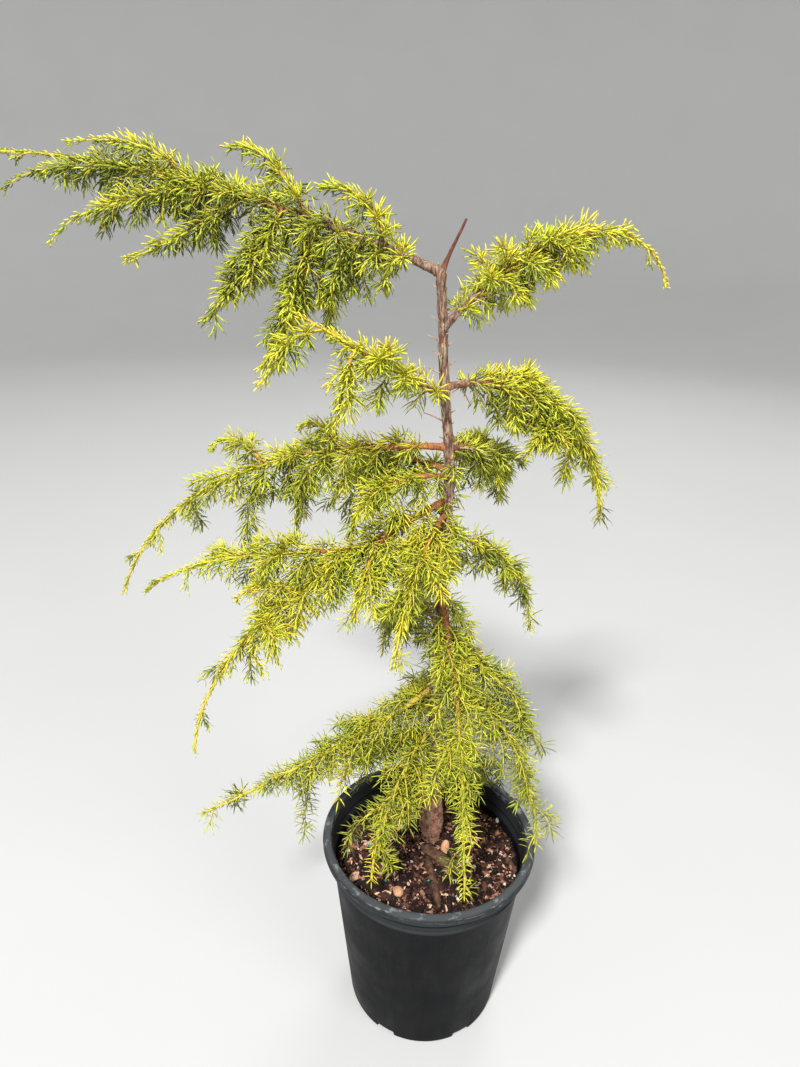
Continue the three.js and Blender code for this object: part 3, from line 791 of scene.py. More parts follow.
def rounded_outline(corners, steps=5):
    """An outline whose corners are rounded: a corner with a radius becomes a short curve that
    starts and ends that far from it, mixed from both ends and the corner as a parabola is."""
    points = []
    share = np.linspace(0, 1, steps)[:, None]
    for index, (radius, height, rounding) in enumerate(corners):
        here = np.array([radius, height], float)
        if not rounding:
            points.append(here[None])
            continue
        ends = []
        for neighbour in (corners[index - 1], corners[index + 1]):
            away = np.array(neighbour[:2], float) - here
            ends.append(here + unit(away) * min(rounding, np.linalg.norm(away) / 2))
        curve = (1 - share) ** 2 * ends[0] + 2 * share * (1 - share) * here + share**2 * ends[1]
        points.append(curve)
    return np.vstack(points)


def copies(template, faces, places, frames, scales, jitter=0):
    """Many copies of one small shape: corner = place + frame (scale (template corner + jitter)).
    A frame's rows are the shape's own X, Y and Z."""
    local = (template + jitter) * scales[:, None, :]
    points = places[:, None] + np.einsum("nvk,nkx->nvx", local, frames)
    shift = (np.arange(len(places)) * len(template))[:, None, None]
    return points.reshape(-1, 3), [(shift + block).reshape(-1, block.shape[1]) for block in faces]


def stacked(points, corners_per_ring):
    """The faces of one small closed shape whose corners are given ring by ring."""
    numbers = np.arange(len(points)).reshape(-1, corners_per_ring)
    return [walls_between(numbers[:-1], numbers[1:]), numbers[0, ::-1][None], numbers[-1][None]]


def prism(levels, sides):
    """A small lump with rings of corners at some heights: rows of height and width."""
    heights, widths = np.array(levels, float).T[..., None]
    turn = full_turn(sides)
    points = np.stack([widths * np.cos(turn), widths * np.sin(turn), heights + 0 * turn], axis=-1)
    points = points.reshape(-1, 3)
    return points, stacked(points, sides)


def random_frames(draw, count, tilt):
    """Frames turned freely round Z and tipped over by up to the tilt, in degrees."""
    turn = draw.uniform(0, 2 * np.pi, count)
    lean = np.radians(tilt) * np.sqrt(draw.random(count))
    towards = draw.uniform(0, 2 * np.pi, count)
    up = np.stack([np.sin(lean) * np.cos(towards), np.sin(lean) * np.sin(towards), np.cos(lean)], -1)
    side = np.stack([np.cos(turn), np.sin(turn), 0 * turn], axis=-1)
    side = unit(side - up * dots(side, up))
    return np.stack([side, np.cross(up, side), up], axis=1)


def make_piece(name, shapes, material, nodes, smooth=True, marks=None):
    """Puts points in millimetres and blocks of corner numbers into one mesh in metres. It rides on
    the plant's one body, and stands for the nodes."""
    points, blocks, shift = [], [], 0
    for part_points, part_faces in shapes:
        points.append(part_points)
        blocks += [block + shift for block in part_faces]
        shift += len(part_points)
    points = np.vstack(points)
    corners = np.concatenate([block.ravel() for block in blocks])
    sizes = np.concatenate([np.full(len(block), block.shape[1]) for block in blocks])
    mesh = bpy.data.meshes.new(name)
    mesh.vertices.add(len(points))
    mesh.vertices.foreach_set("co", (points * MM).astype(np.float32).ravel())
    mesh.loops.add(len(corners))
    mesh.loops.foreach_set("vertex_index", corners.astype(np.int32))
    mesh.polygons.add(len(sizes))
    mesh.polygons.foreach_set("loop_start", (np.cumsum(sizes) - sizes).astype(np.int32))
    mesh.polygons.foreach_set("use_smooth", np.full(len(sizes), smooth))
    for label, values in (marks or {}).items():
        layer = mesh.attributes.new(label, "FLOAT", "POINT")
        layer.data.foreach_set("value", np.asarray(values, np.float32))
    mesh.update(calc_edges=True)
    if mesh.validate():
        raise RuntimeError(f"{name} has faces that Blender had to mend")
    mesh.materials.append(material)
    piece = bpy.data.objects.new(name, mesh)
    bpy.context.scene.collection.objects.link(piece)
    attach(piece, BODY)
    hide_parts(*nodes)
    return piece


# Shader building


def colour(red, green, blue):
    """A screen colour, 0 to 255 each, as the linear colour that shaders use."""
    share = np.array([red, green, blue]) / 255
    linear = np.where(share <= 0.04045, share / 12.92, ((share + 0.055) / 1.055) ** 2.4)
    return (*linear.tolist(), 1.0)


def add_node(tree, kind, inputs=None, **settings):
    """A node with its settings. An input given as a socket is linked, and any other is set."""
    made = tree.nodes.new(kind)
    for label, value in settings.items():
        setattr(made, label, value)
    for key, value in (inputs or {}).items():
        if isinstance(value, bpy.types.NodeSocket):
            tree.links.new(value, made.inputs[key])
        else:
            made.inputs[key].default_value = value
    return made


def mixed(tree, share, first, second):
    """A colour that goes from the first to the second as the share goes from 0 to 1."""
    inputs = {0: share, 6: first, 7: second}
    return add_node(tree, "ShaderNodeMix", inputs, data_type="RGBA").outputs[2]


def worked(tree, operation, *values):
    """What one piece of arithmetic gives."""
    inputs = dict(enumerate(values))
    return add_node(tree, "ShaderNodeMath", inputs, operation=operation).outputs[0]


def product(tree, first, second):
    return worked(tree, "MULTIPLY", first, second)


def mapped(tree, value, low, high, to_low=0.0, to_high=1.0):
    """A value carried over from one range to another, and kept inside it."""
    inputs = {0: value, 1: low, 2: high, 3: to_low, 4: to_high}
    return add_node(tree, "ShaderNodeMapRange", inputs).outputs[0]


def noise(tree, place, scale, detail=3.0, roughness=0.55):
    inputs = {"Vector": place, "Scale": scale, "Detail": detail, "Roughness": roughness}
    return add_node(tree, "ShaderNodeTexNoise", inputs).outputs[0]


def shared_group(name, inputs, output, fill):
    """A shader node group, built once. Besides the place on the object it takes the inputs, each
    with its starting value, and its one output is what fill makes of them."""
    if name in bpy.data.node_groups:
        return bpy.data.node_groups[name]
    tree = bpy.data.node_groups.new(name, "ShaderNodeTree")
    tree.interface.new_socket(name="Place", in_out="INPUT", socket_type="NodeSocketVector")
    for label, value in inputs.items():
        kind = "NodeSocketColor" if label == "Colour" else "NodeSocketFloat"
        socket = tree.interface.new_socket(name=label, in_out="INPUT", socket_type=kind)
        socket.default_value = value
    kind = "NodeSocketColor" if output == "Colour" else "NodeSocketFloat"
    tree.interface.new_socket(name=output, in_out="OUTPUT", socket_type=kind)
    made = fill(tree, tree.nodes.new("NodeGroupInput").outputs)
    tree.links.new(made, tree.nodes.new("NodeGroupOutput").inputs[output])
    return tree


def tint_play():
    """A base colour whose lightness and hue wander a little from place to place."""
    def fill(tree, given):
        light = noise(tree, given["Place"], given["Scale"], 2.0)
        shift = {0: given["Place"], 1: (3.1, 1.7, 5.3)}
        elsewhere = add_node(tree, "ShaderNodeVectorMath", shift).outputs[0]
        hue = noise(tree, elsewhere, given["Scale"], 1.0)
        lift = product(tree, mapped(tree, light, 0.3, 0.7, -1.0, 1.0), given["Light Play"])
        turn = product(tree, mapped(tree, hue, 0.3, 0.7, -1.0, 1.0), given["Hue Play"])
        shifted = add_node(tree, "ShaderNodeHueSaturation", {
            "Hue": worked(tree, "ADD", turn, 0.5),
            "Value": worked(tree, "ADD", lift, 1.0),
            "Color": given["Colour"],
        })
        return shifted.outputs[0]

    inputs = {"Colour": (0.5, 0.5, 0.5, 1), "Scale": 100.0, "Light Play": 0.2, "Hue Play": 0.02}
    return shared_group("Tint Play", inputs, "Colour", fill)


def fibre():
    """Threads that run along Z: noise drawn out along it, as a mask with soft edges."""
    def fill(tree, given):
        scales = {0: given["Across"], 1: given["Across"], 2: given["Along"]}
        scale = add_node(tree, "ShaderNodeCombineXYZ", scales).outputs[0]
        inputs = {0: given["Place"], 1: scale}
        place = add_node(tree, "ShaderNodeVectorMath", inputs, operation="MULTIPLY").outputs[0]
        return mapped(tree, noise(tree, place, 1.0, 5.0, 0.62), 0.36, 0.64)

    return shared_group("Fibre", {"Across": 400.0, "Along": 20.0}, "Mask", fill)


def dust():
    """Dust that settles where a surface faces up, in patches."""
    def fill(tree, given):
        normal = add_node(tree, "ShaderNodeNewGeometry").outputs["Normal"]
        facing = add_node(tree, "ShaderNodeSeparateXYZ", {0: normal}).outputs["Z"]
        up = mapped(tree, facing, -0.2, 0.9)
        patches = mapped(tree, noise(tree, given["Place"], given["Scale"], 6.0, 0.7), 0.38, 0.68)
        return product(tree, product(tree, up, patches), given["Amount"])

    return shared_group("Dust", {"Scale": 60.0, "Amount": 0.5}, "Mask", fill)


def use(tree, group, **inputs):
    """What a shared group gives in a material. Underscores in the inputs' names stand for spaces."""
    named = {label.replace("_", " "): value for label, value in inputs.items()}
    return add_node(tree, "ShaderNodeGroup", named, node_tree=group).outputs[0]


def played(tree, place, base, scale, light_play, hue_play):
    """A base colour that wanders in patches of one scale, as tint_play does it."""
    look = {"Colour": base, "Scale": scale, "Light_Play": light_play, "Hue_Play": hue_play}
    return use(tree, tint_play(), Place=place, **look)


def new_material(name, roughness, specular=0.5):
    """A material, its skin, and the place on the object that its patterns are read at."""
    material = bpy.data.materials.new(name)
    material.use_nodes = True
    tree = material.node_tree
    skin = tree.nodes["Principled BSDF"]
    skin.inputs["Roughness"].default_value = roughness
    skin.inputs["Specular IOR Level"].default_value = specular
    return material, tree, skin, add_node(tree, "ShaderNodeTexCoord").outputs["Object"]


def bumped(tree, skin, height, distance, strength):
    """Gives the skin small relief, without moving the mesh."""
    inputs = {"Height": height, "Distance": distance, "Strength": strength}
    tree.links.new(add_node(tree, "ShaderNodeBump", inputs).outputs[0], skin.inputs["Normal"])


def attribute(tree, name):
    """A number that the mesh carries at each of its points."""
    return add_node(tree, "ShaderNodeAttribute", attribute_name=name).outputs["Fac"]


# Finishes

CRUMB_SHADE = 0.01, 0.006, 0.004, 1
FISSURE = 0.035, 0.018, 0.012, 1


def pot_plastic(settings):
    """Charcoal plastic with faint upright flow streaks, dust in patches, painted sky light on the band
    under the lip, painted shade in a dark line on each side of its ring, scuffs on the lip, and a
    painted highlight along the lip's top edge."""
    material, tree, skin, place = new_material("pot plastic", 0.5, 0.05)
    height = add_node(tree, "ShaderNodeSeparateXYZ", {0: place}).outputs["Z"]

    streaks = use(tree, fibre(), Place=place, Across=150.0, Along=10.0)
    blotches = mapped(tree, noise(tree, place, 28.0, 4.0), 0.35, 0.7)
    wall = mixed(tree, product(tree, streaks, 0.55), settings.wall, settings.streak)
    wall = mixed(tree, product(tree, blotches, 0.45), wall, settings.streak)

    at_lip = mapped(tree, height, (POT_HEIGHT - 6) * MM, (POT_HEIGHT - 1) * MM)
    scratches = use(tree, fibre(), Place=place, Across=90.0, Along=900.0)
    scuffs = product(tree, scratches, noise(tree, place, 130.0, 5.0, 0.7))
    scuffs = product(tree, mapped(tree, scuffs, 0.32, 0.5), product(tree, at_lip, 0.85))
    wall = mixed(tree, scuffs, wall, settings.scuff_and_highlight)

    band_foot = POT_HEIGHT - POT_BAND_HEIGHT
    # Painted sky light: the band under the lip is painted lighter, in patches.
    at_band = mapped(tree, height, (band_foot - 1) * MM, (band_foot + 1) * MM, 0.0, 0.5)
    sky_lit = product(tree, at_band, mapped(tree, blotches, 0.0, 1.0, 0.6, 1.0))
    wall = mixed(tree, sky_lit, wall, settings.band)
    # Painted shade: a dark line on each side of the band's ring, in the wall's colour.
    for line in (band_foot + 7.5, band_foot - 1.5):
        off = worked(tree, "ABSOLUTE", worked(tree, "SUBTRACT", height, line * MM))
        wall = mixed(tree, mapped(tree, off, 0.3 * MM, 1.1 * MM, 0.8, 0.0), wall, settings.wall)
    # Painted highlight: the lip's top edge is painted lighter, in the scuffs' colour.
    rim = mapped(tree, height, (POT_HEIGHT - 1.4) * MM, (POT_HEIGHT - 0.3) * MM, 0.0, 0.14)
    wall = mixed(tree, rim, wall, settings.scuff_and_highlight)

    specks = mapped(tree, noise(tree, place, 900.0, 2.0), 0.66, 0.72, 0.0, 0.35)
    settled = use(tree, dust(), Place=place, Scale=70.0, Amount=0.2)
    wall = mixed(tree, worked(tree, "MAXIMUM", specks, settled), wall, settings.dust)
    tree.links.new(wall, skin.inputs["Base Color"])
    tree.links.new(mapped(tree, blotches, 0.0, 1.0, 0.38, 0.58), skin.inputs["Roughness"])
    grain = noise(tree, place, 1600.0, 4.0, 0.7)
    bumped(tree, skin, worked(tree, "ADD", grain, product(tree, streaks, 0.8)), 0.18 * MM, 0.55)
    return material


def crumbly(name, base, light_play, scale, roughness=0.9):
    """Bark mix, chips and stones: a colour that wanders, grain, and a rough face."""
    material, tree, skin, place = new_material(name, roughness, 0.25)
    tint = played(tree, place, base, scale, light_play, 0.012)
    grain = noise(tree, place, scale * 5, 5.0, 0.7)
    shaded = mixed(tree, mapped(tree, grain, 0.3, 0.55, 0.55, 0.0), tint, CRUMB_SHADE)
    tree.links.new(shaded, skin.inputs["Base Color"])
    bumped(tree, skin, grain, 0.4 * MM, 0.8)
    return material


def bark_skin(settings):
    """Wood by its age: golden at the tips, orange brown, red brown, and grey brown and fibrous
    where it is oldest, with pale threads of peeling bark. Beyond 1 it is the trunk's pinkish foot."""
    material, tree, skin, place = new_material("juniper bark", 0.75, 0.3)
    age = attribute(tree, "age")
    wander = mapped(tree, noise(tree, place, 90.0, 3.0), 0.3, 0.7, -0.09, 0.09)
    aged = worked(tree, "ADD", age, wander)
    base = mixed(tree, mapped(tree, aged, 0.1, 0.32), settings.tip, settings.amber)
    base = mixed(tree, mapped(tree, aged, 0.34, 0.56), base, settings.red)
    base = mixed(tree, mapped(tree, aged, 0.66, 0.95), base, settings.old)
    base = mixed(tree, mapped(tree, age, 1.02, 1.2), base, settings.foot)

    patches = mapped(tree, noise(tree, place, 150.0, 5.0, 0.65), 0.46, 0.58)
    stained = product(tree, patches, mapped(tree, age, 0.6, 0.9, 0.0, 0.75))
    stained = worked(tree, "MAXIMUM", stained, attribute(tree, "dark"))
    base = mixed(tree, stained, base, settings.stain)

    pale = mapped(tree, use(tree, fibre(), Place=place, Across=340.0, Along=90.0), 0.52, 0.88)
    peeling = product(tree, pale, mapped(tree, age, 0.75, 1.0, 0.0, 0.75))
    base = mixed(tree, peeling, base, settings.pale)

    threads = use(tree, fibre(), Place=place, Across=900.0, Along=120.0)
    on_old_wood = mapped(tree, age, 0.3, 0.9, 0.3, 0.75)
    depth = product(tree, on_old_wood, mapped(tree, age, 1.02, 1.15, 1.0, 0.45))
    dark = product(tree, mapped(tree, threads, 0.58, 0.15), depth)
    base = mixed(tree, dark, base, FISSURE)
    tree.links.new(base, skin.inputs["Base Color"])
    bumped(tree, skin, threads, 0.6 * MM, 0.9)
    return material


def needle_skin(name, base):
    """Needles of one tint. The tint wanders a little, at the size of a spray and of a needle."""
    material, tree, skin, place = new_material(name, 0.42, 0.25)
    spray = played(tree, place, base, 55.0, 0.14, 0.01)
    needle = played(tree, place, spray, 420.0, 0.2, 0.01)
    tree.links.new(needle, skin.inputs["Base Color"])
    return material


# Pot and soil


def wall_radius(height):
    """The wall leans out evenly from the foot to the band under the lip."""
    return lerp(POT_FOOT_RADIUS, POT_BAND_RADIUS - POT_BAND_STEP, height / (POT_HEIGHT - POT_BAND_HEIGHT))


def pot_outline(notched):
    """The pot's outline from the middle of its underside, up the wall, over the lip and down inside.
    In a notch the foot is set back, and the underside rises to meet the wall above it."""
    band_foot = POT_HEIGHT - POT_BAND_HEIGHT
    lip_foot = POT_HEIGHT - POT_LIP_HEIGHT
    back = wall_radius(0) - NOTCH_DEPTH
    if notched:
        foot = [(back, 0, 0.3), (back, NOTCH_HEIGHT, 0.3), (wall_radius(NOTCH_HEIGHT), NOTCH_HEIGHT, 0.3)]
    else:
        foot = [(back, 0, 0.3), (wall_radius(0) - 0.6, 0, 0.9), (wall_radius(2.5), 2.5, 0.4)]
    upper = [
        (wall_radius(band_foot - 1), band_foot - 1, 0.4),
        (POT_BAND_RADIUS + 0.9, band_foot, 0.3),
        (POT_BAND_RADIUS + 0.9, band_foot + 1.5, 0.4),
        (POT_BAND_RADIUS, band_foot + 2.4, 0.5),
        (POT_BAND_RADIUS + 0.9, lip_foot - 4.5, 0.6),
        (POT_BAND_RADIUS - 0.1, lip_foot - 3.6, 0.4),
        (POT_BAND_RADIUS + 0.2, lip_foot, 0.5),
        (POT_LIP_RADIUS - 0.7, lip_foot - 0.2, 0.8),
        (POT_LIP_RADIUS, lip_foot + 2, 1.2),
        (POT_LIP_RADIUS - 0.3, POT_HEIGHT - 0.8, 1.6),
        (POT_LIP_RADIUS - 3.2, POT_HEIGHT, 1.8),
        (POT_BAND_RADIUS + 1.2, POT_HEIGHT - 0.2, 1.2),
        (POT_BAND_RADIUS - 0.6, POT_HEIGHT - 2.4, 1.4),
        (POT_BAND_RADIUS - POT_WALL - 0.4, band_foot, 2),
        (wall_radius(POT_FLOOR) - POT_WALL, POT_FLOOR, 1),
        (20, POT_FLOOR, 0),
    ]
    return rounded_outline([(20, 0, 0), *foot, *upper])


def pot_shape():
    """The plain and the notched outline, mixed from angle to angle, with a slight waver in the wall
    and small dents on the lip."""
    plain, notched = pot_outline(False), pot_outline(True)
    middles = full_turn(NOTCH_COUNT)
    half = NOTCH_WIDTH / 2 / POT_FOOT_RADIUS
    edge = NOTCH_EDGE / POT_FOOT_RADIUS
    edges = [middles + side * (half + slip) for side in (-1, 1) for slip in (0, edge)]
    angles = np.concatenate([full_turn(POT_ANGLES), *edges]) % (2 * np.pi)
    angles = np.unique(np.round(angles, 6))
    from_middle = np.abs((angles[:, None] - middles + np.pi) % (2 * np.pi) - np.pi).min(axis=1)
    share = 1 - smooth_step(from_middle, half, half + edge)
    table = plain[:, None] + (notched - plain)[:, None] * share[:, None]
    radii, heights = table[..., 0], table[..., 1]
    lift = smooth_step(heights, 8, POT_HEIGHT - 30)
    across, beside = np.cos(angles), np.sin(angles)
    waver = WALL_WAVER * ripples(across * 2.2, beside * 2.2 + heights / 60, 3, 4)
    lip = smooth_step(heights, POT_HEIGHT - 5, POT_HEIGHT - 1)
    dents = LIP_DENTS * ripples(across * 24, beside * 24 + heights * 0.4, 5, 5)
    return lathe(radii + lift * waver + lip * dents, heights - lip * np.abs(dents), angles)


def soil_height(x, y):
    """The soil dips towards the wall, and is uneven."""
    reach = np.hypot(x, y)
    slope = (reach - SOIL_FLAT_RADIUS) / (soil_radius(SOIL_LEVEL) - SOIL_FLAT_RADIUS)
    dish = SOIL_DISH * np.clip(slope, 0, 1)
    bumps = SOIL_BUMPS * ripples(x, y, 8, 6, SOIL_BUMP_REACH)
    return SOIL_LEVEL - SOIL_SINKING - dish + bumps


def soil_radius(height):
    return wall_radius(height) - POT_WALL - SOIL_SHRINKAGE


def soil_shape():
    """A filled body under an uneven top: rings run out under the floor, up the wall, and in again."""
    angles = full_turn(SOIL_ANGLES)
    edge = SOIL_LEVEL - SOIL_DISH - 1
    lowest = np.array([20, soil_radius(SOIL_FLOOR), soil_radius(edge)])
    top = np.linspace(soil_radius(edge) + 1.2, 1.5, SOIL_RINGS)
    radii = np.repeat(np.concatenate([lowest, top])[:, None], SOIL_ANGLES, axis=1)
    heights = soil_height(radii * np.cos(angles), radii * np.sin(angles))
    heights[:3] = np.array([[SOIL_FLOOR], [SOIL_FLOOR], [edge]])
    return lathe(radii, heights, angles)


def spots_on_soil(draw, count, keep_off):
    """Places spread evenly over the soil, kept off the trunk's foot."""
    reach = soil_radius(SOIL_LEVEL) * np.sqrt(draw.random(count)) - 1
    turn = draw.uniform(0, 2 * np.pi, count)
    x, y = reach * np.cos(turn), reach * np.sin(turn)
    _, foot_x, foot_y = TRUNK_LEAN[0]
    clear = np.hypot(x - foot_x, y - foot_y) > keep_off
    x, y = x[clear], y[clear]
    return np.stack([x, y, soil_height(x, y)], axis=-1)


def chips_shape(draw, count, long, wide, thick, tilt, lift, sides=6):
    """Split bark: flat lumps with torn corners, laid over one another."""
    template, faces = prism([(-0.5, 0.8), (0.1, 1.0), (0.5, 0.75)], sides)
    template = template * (0.5, 0.5, 1)
    places = spots_on_soil(draw, count, keep_off=9)
    count = len(places)
    size = draw.lognormal(0, 0.28, count)[:, None]
    spread = draw.uniform(0.75, 1.25, (count, 3))
    scales = size * spread * (long, wide, thick)
    places[:, 2] += scales[:, 2] * 0.5 + lift * draw.random(count)
    jitter = draw.uniform(-0.13, 0.13, (count, len(template), 3))
    return copies(template, faces, places, random_frames(draw, count, tilt), scales, jitter)


def pebble_shape(places, sizes, draw, rings=7, sides=12, rough=0.07):
    """Rounded stones: a ball drawn by rings, pulled out of round."""
    rise = np.linspace(-np.pi / 2, np.pi / 2, rings + 2)[1:-1]
    template, faces = prism(np.column_stack([np.sin(rise), np.cos(rise)]) * 0.5, sides)
    jitter = draw.uniform(-rough, rough, (len(places), len(template), 3))
    return copies(template, faces, places, random_frames(draw, len(places), 25), sizes, jitter)


def stick_shape(start, end, radius, draw, sides=9):
    """A weathered stick that lies from one point to another, split and uneven along its length."""
    share = np.linspace(0, 1, 26)
    path = np.outer(1 - share, start) + np.outer(share, end)
    path[:, :2] += 0.5 * ripples(share * 5, 0 * share, int(draw.integers(99)), 3)[:, None]
    turn = full_turn(sides)
    across, beside = 2 * np.cos(turn)[None], 2 * np.sin(turn)[None]
    relief = 1 + 0.42 * ripples(across, beside + share[:, None] * 3.0, int(draw.integers(99)), 4)
    ends = np.clip(np.minimum(share, 1 - share) * 9, 0.45, 1)
    return tubes(path[None], (radius * relief * ends[:, None])[None], sides)


# Trunk and limbs


def bark_relief(turn, along, seed):
    """Upright ridges that fork and wander: a sum of sine waves round the stem whose starts drift
    as they climb, over a slower swell."""
    draw = np.random.default_rng(seed)
    total = 0
    for count, height in RIDGE_WAVES:
        phase, sway, drift = draw.uniform(0, 2 * np.pi, 3)
        wander = 1.6 * np.sin(along / (9 + 30 / count) + sway) + 0.9 * np.sin(along / 23 + drift)
        total = total + height * np.sin(count * turn + phase + wander)
    swell = 0.9 * np.sin(along / 14 + draw.uniform(0, 6)) * np.sin(2 * turn + along / 31)
    return (total + swell) / 4


def trunk_shape():
    """The trunk's taper with its bark's relief, a lumpy foot, and a swelling under each bough."""
    share = np.linspace(0, 1, TRUNK_RINGS) ** RING_CROWDING
    heights = lerp(GROUND, LEADER_TIP_HEIGHT, share)
    points = trunk_points(heights)
    points[0, :2] = points[1, :2]
    turn = full_turn(TRUNK_SIDES)[None]
    above = (heights - GROUND)[:, None]
    radii = trunk_radius(heights)[:, None] * lerp(0.8, 1, smooth_step(above, 4, 16))
    depth = TRUNK_RIDGES * np.clip(radii / 6, 0.45, 1.2)
    across, beside = np.cos(turn), np.sin(turn)
    fine_lumps = FINE_LUMPS * ripples(across * 2.2, beside * 2.2 + above / 7, 9, 4)
    broad_lumps = BROAD_LUMPS * ripples(across * 1.2, beside * 1.2 + above * 0.9, 14, 3)
    lumps = fine_lumps * np.exp(-above / 60) + broad_lumps * np.exp(-above / 40)
    knots = KNOT_HEIGHT * sum(
        np.exp(-(((heights - place) / KNOT_REACH) ** 2))[:, None] * np.cos(turn - math.radians(heading))
        for _, carrier, place, heading, *_ in LIMB_ROWS if carrier == "trunk"
    )
    grooves = 0.25 * np.sin(above * 1.7) ** 8 * np.exp(-above / 30)
    bulge = FOOT_BULGE * np.exp(-(((above - 20) / 15) ** 2)) - grooves
    relief = depth * bark_relief(turn, above, TRUNK_SEED)
    radii = radii - 0.1 + relief + lumps + bulge + np.clip(knots, -0.3, KNOT_HEIGHT)
    leader = smooth_step(heights, TRUNK_FORK_HEIGHT, TRUNK_FORK_HEIGHT + 12)[:, None]
    radii = np.maximum(radii * lerp(1, 0.8, leader), 0.6)
    return tubes(points[None], radii[None], TRUNK_SIDES), heights


def limb_shape(limb, seed):
    """A limb's whole taper with its bark's relief and its knuckles. It starts inside its carrier,
    under a collar, wavers on its way, and closes at its tip."""
    rings = int(limb["length"] / LIMB_RING_SPACING)
    share = np.linspace(0, 1, rings)
    path = points_at(limb["path"][None], np.zeros(rings, int), share)
    along = share * limb["length"]
    waver = [ripples(along / 9, 0 * along, seed + shift, 3) for shift in (100, 200, 300)]
    between_ends = smooth_step(share * (1 - share), 0, 0.05)[:, None]
    path = path + LIMB_WAVER * np.stack(waver, axis=-1) * between_ends
    beat = np.sin(along / 1.3 + 2 * ripples(along / 8, 0 * along, seed, 3))
    radii = limb_radius(limb, share) * (1 + KNUCKLE_HEIGHT * np.maximum(0, beat) ** 4)
    relief = bark_relief(full_turn(LIMB_SIDES)[None], along[:, None], seed)
    depth = LIMB_RIDGES * radii * np.clip(1.25 - share, 0.3, 1)
    collar = COLLAR_HEIGHT * limb["radius"] * np.exp(-along / COLLAR_REACH)
    close = np.sqrt(np.clip((1 - share) * limb["length"] / 2.5, 0.02, 1))
    radii = ((radii + collar) * close)[:, None] + depth[:, None] * relief
    return tubes(path[None], radii[None], LIMB_SIDES), share


def strips_shape(draw, points, radii, count):
    """Peeling bark: thin strips that lie along the stem and lift away at one end."""
    pick = draw.integers(0, len(points) - 1, count)
    forward = unit(np.gradient(points, axis=0))[pick]
    random_side = unit(np.cross(forward, draw.normal(size=(count, 3))))
    outward = np.cross(forward, random_side)
    sign = np.where(draw.random(count) < 0.7, 1, -1)[:, None]
    lean = unit(forward * sign + outward * draw.uniform(0.02, STRIP_LIFT, (count, 1)))
    across = unit(np.cross(outward, lean))
    normal = np.cross(lean, across)
    stations = np.linspace(0, 1, 6)
    width = np.sin(np.pi * np.clip(stations * 0.9 + 0.06, 0, 1)) ** 0.7
    curl = 0.05 * stations**2
    template = np.array([
        corner for at, half, up in zip(stations, width, curl)
        for corner in ((-half / 2, up, at), (0, up - 0.016, at), (half / 2, up, at))
    ])
    length = STRIP_LENGTH * draw.uniform(0.4, 1.3, count)
    scales = np.stack([STRIP_WIDTH * draw.uniform(0.5, 1.4, count), length, length], axis=-1)
    places = points[pick] + outward * (radii[pick] * draw.uniform(0.96, 1.06, count))[:, None]
    frames = np.stack([across, normal, lean], axis=1)
    return copies(template, stacked(template, 3), places, frames, scales)


def spikes_shape(draw):
    """Dead twigs that stick out of the trunk and of the boughs' bare feet: thin spikes that droop a
    little, each from inside its bearer."""
    limbs = lay_out_limbs()
    paths = [trunk_points(np.linspace(SPIKES_FROM, SPIKES_TO, PATH_STEPS + 1))]
    paths += [limbs[name]["path"] for name in SPIKY_LIMBS]
    counts = np.array([TRUNK_SPIKES] + [LIMB_SPIKES] * len(SPIKY_LIMBS))
    shares = np.array([1.0] + [limbs[name]["bare"] for name in SPIKY_LIMBS])
    bearing = np.array(paths), 0 * shares, shares, np.full(len(counts), float(SPIKE_LENGTH))
    which, share, turns = chance_offshoots(bearing, counts, draw, SPIKE_HABIT)
    turns["length"] = turns["length"] * draw.uniform(0.4, 1.3, len(which))
    spikes = grow_paths(points_at(np.array(paths), which, share), turns, TWIG_STEPS)
    radii = lerp(*SPIKE_RADII, np.linspace(0, 1, TWIG_STEPS + 1))
    return tubes(spikes, np.tile(radii, (len(spikes), 1))[..., None], 6)


# Needles

# A slim blade, even in width but for a point at each end, keeled below, and arched so that its
# tip leans over towards the shoot's tip. Its width and its arch are in widths, its length in lengths.
NEEDLE_TEMPLATE = np.array([
    (0, 0, 0), (-0.46, -0.6, 0.26), (0, -0.95, 0.26), (0.46, -0.6, 0.26),
    (-0.42, -0.6, 0.7), (0, -0.9, 0.7), (0.42, -0.6, 0.7), (0, 0, 1),
])
NEEDLE_FACES = [
    np.array([(0, 2, 1), (0, 3, 2), (0, 1, 3), (7, 4, 5), (7, 5, 6), (7, 6, 4)]),
    np.array([(1, 2, 5, 4), (2, 3, 6, 5), (3, 1, 4, 6)]),
]
NEEDLE_TRIANGLES = 12
PIECE_TRIANGLES = 190000

# Degrees that a needle opens from its shoot at the tip, and how much that varies. The lift is how
# far needles turn up towards the light.
TIP_OPENING = 38
OPENING_PLAY = 5
NEEDLE_LIFT = 0.04

# Where a shoot's tip begins to close, in millimetres from its end, and where its tail begins, in
# shares of its length. Then how long its needles are at the tip, how much their lengths vary, and
# how deep in the stem they are rooted.
TIP_CLOSES = 0.5, 6
TAIL_BETWEEN = 0.35, 0.8
TIP_NEEDLE_LENGTH = 0.85
NEEDLE_LENGTH_PLAY = 0.82, 1.14
ROOT_DEPTH = 0.6

# How much sunnier a needle is that points up, that grows on the upper side, or that is young, and
# how much shadier one low in the crown.
SUN_BY_AIM = 0.25
SUN_BY_SIDE = 0.2
SUN_AT_TIP = 0.25
LOOSE_SHADE = 0.16

# How much sunnier or shadier each region of the crown is.
FRONT_SUN = 0.3
TOP_SUN = 0.1
OUT_RIGHT_SUN = 0.2
TOP_LEFT_SHADE = 0.3
LOW_RIGHT_SHADE = 0.24
LOWER_LEFT_SHADE = 0.14

# The fewest whorls on a stem, and how much their needles' turns vary.
LEAST_WHORLS = 3
WHORL_UNEVENNESS = 0.2


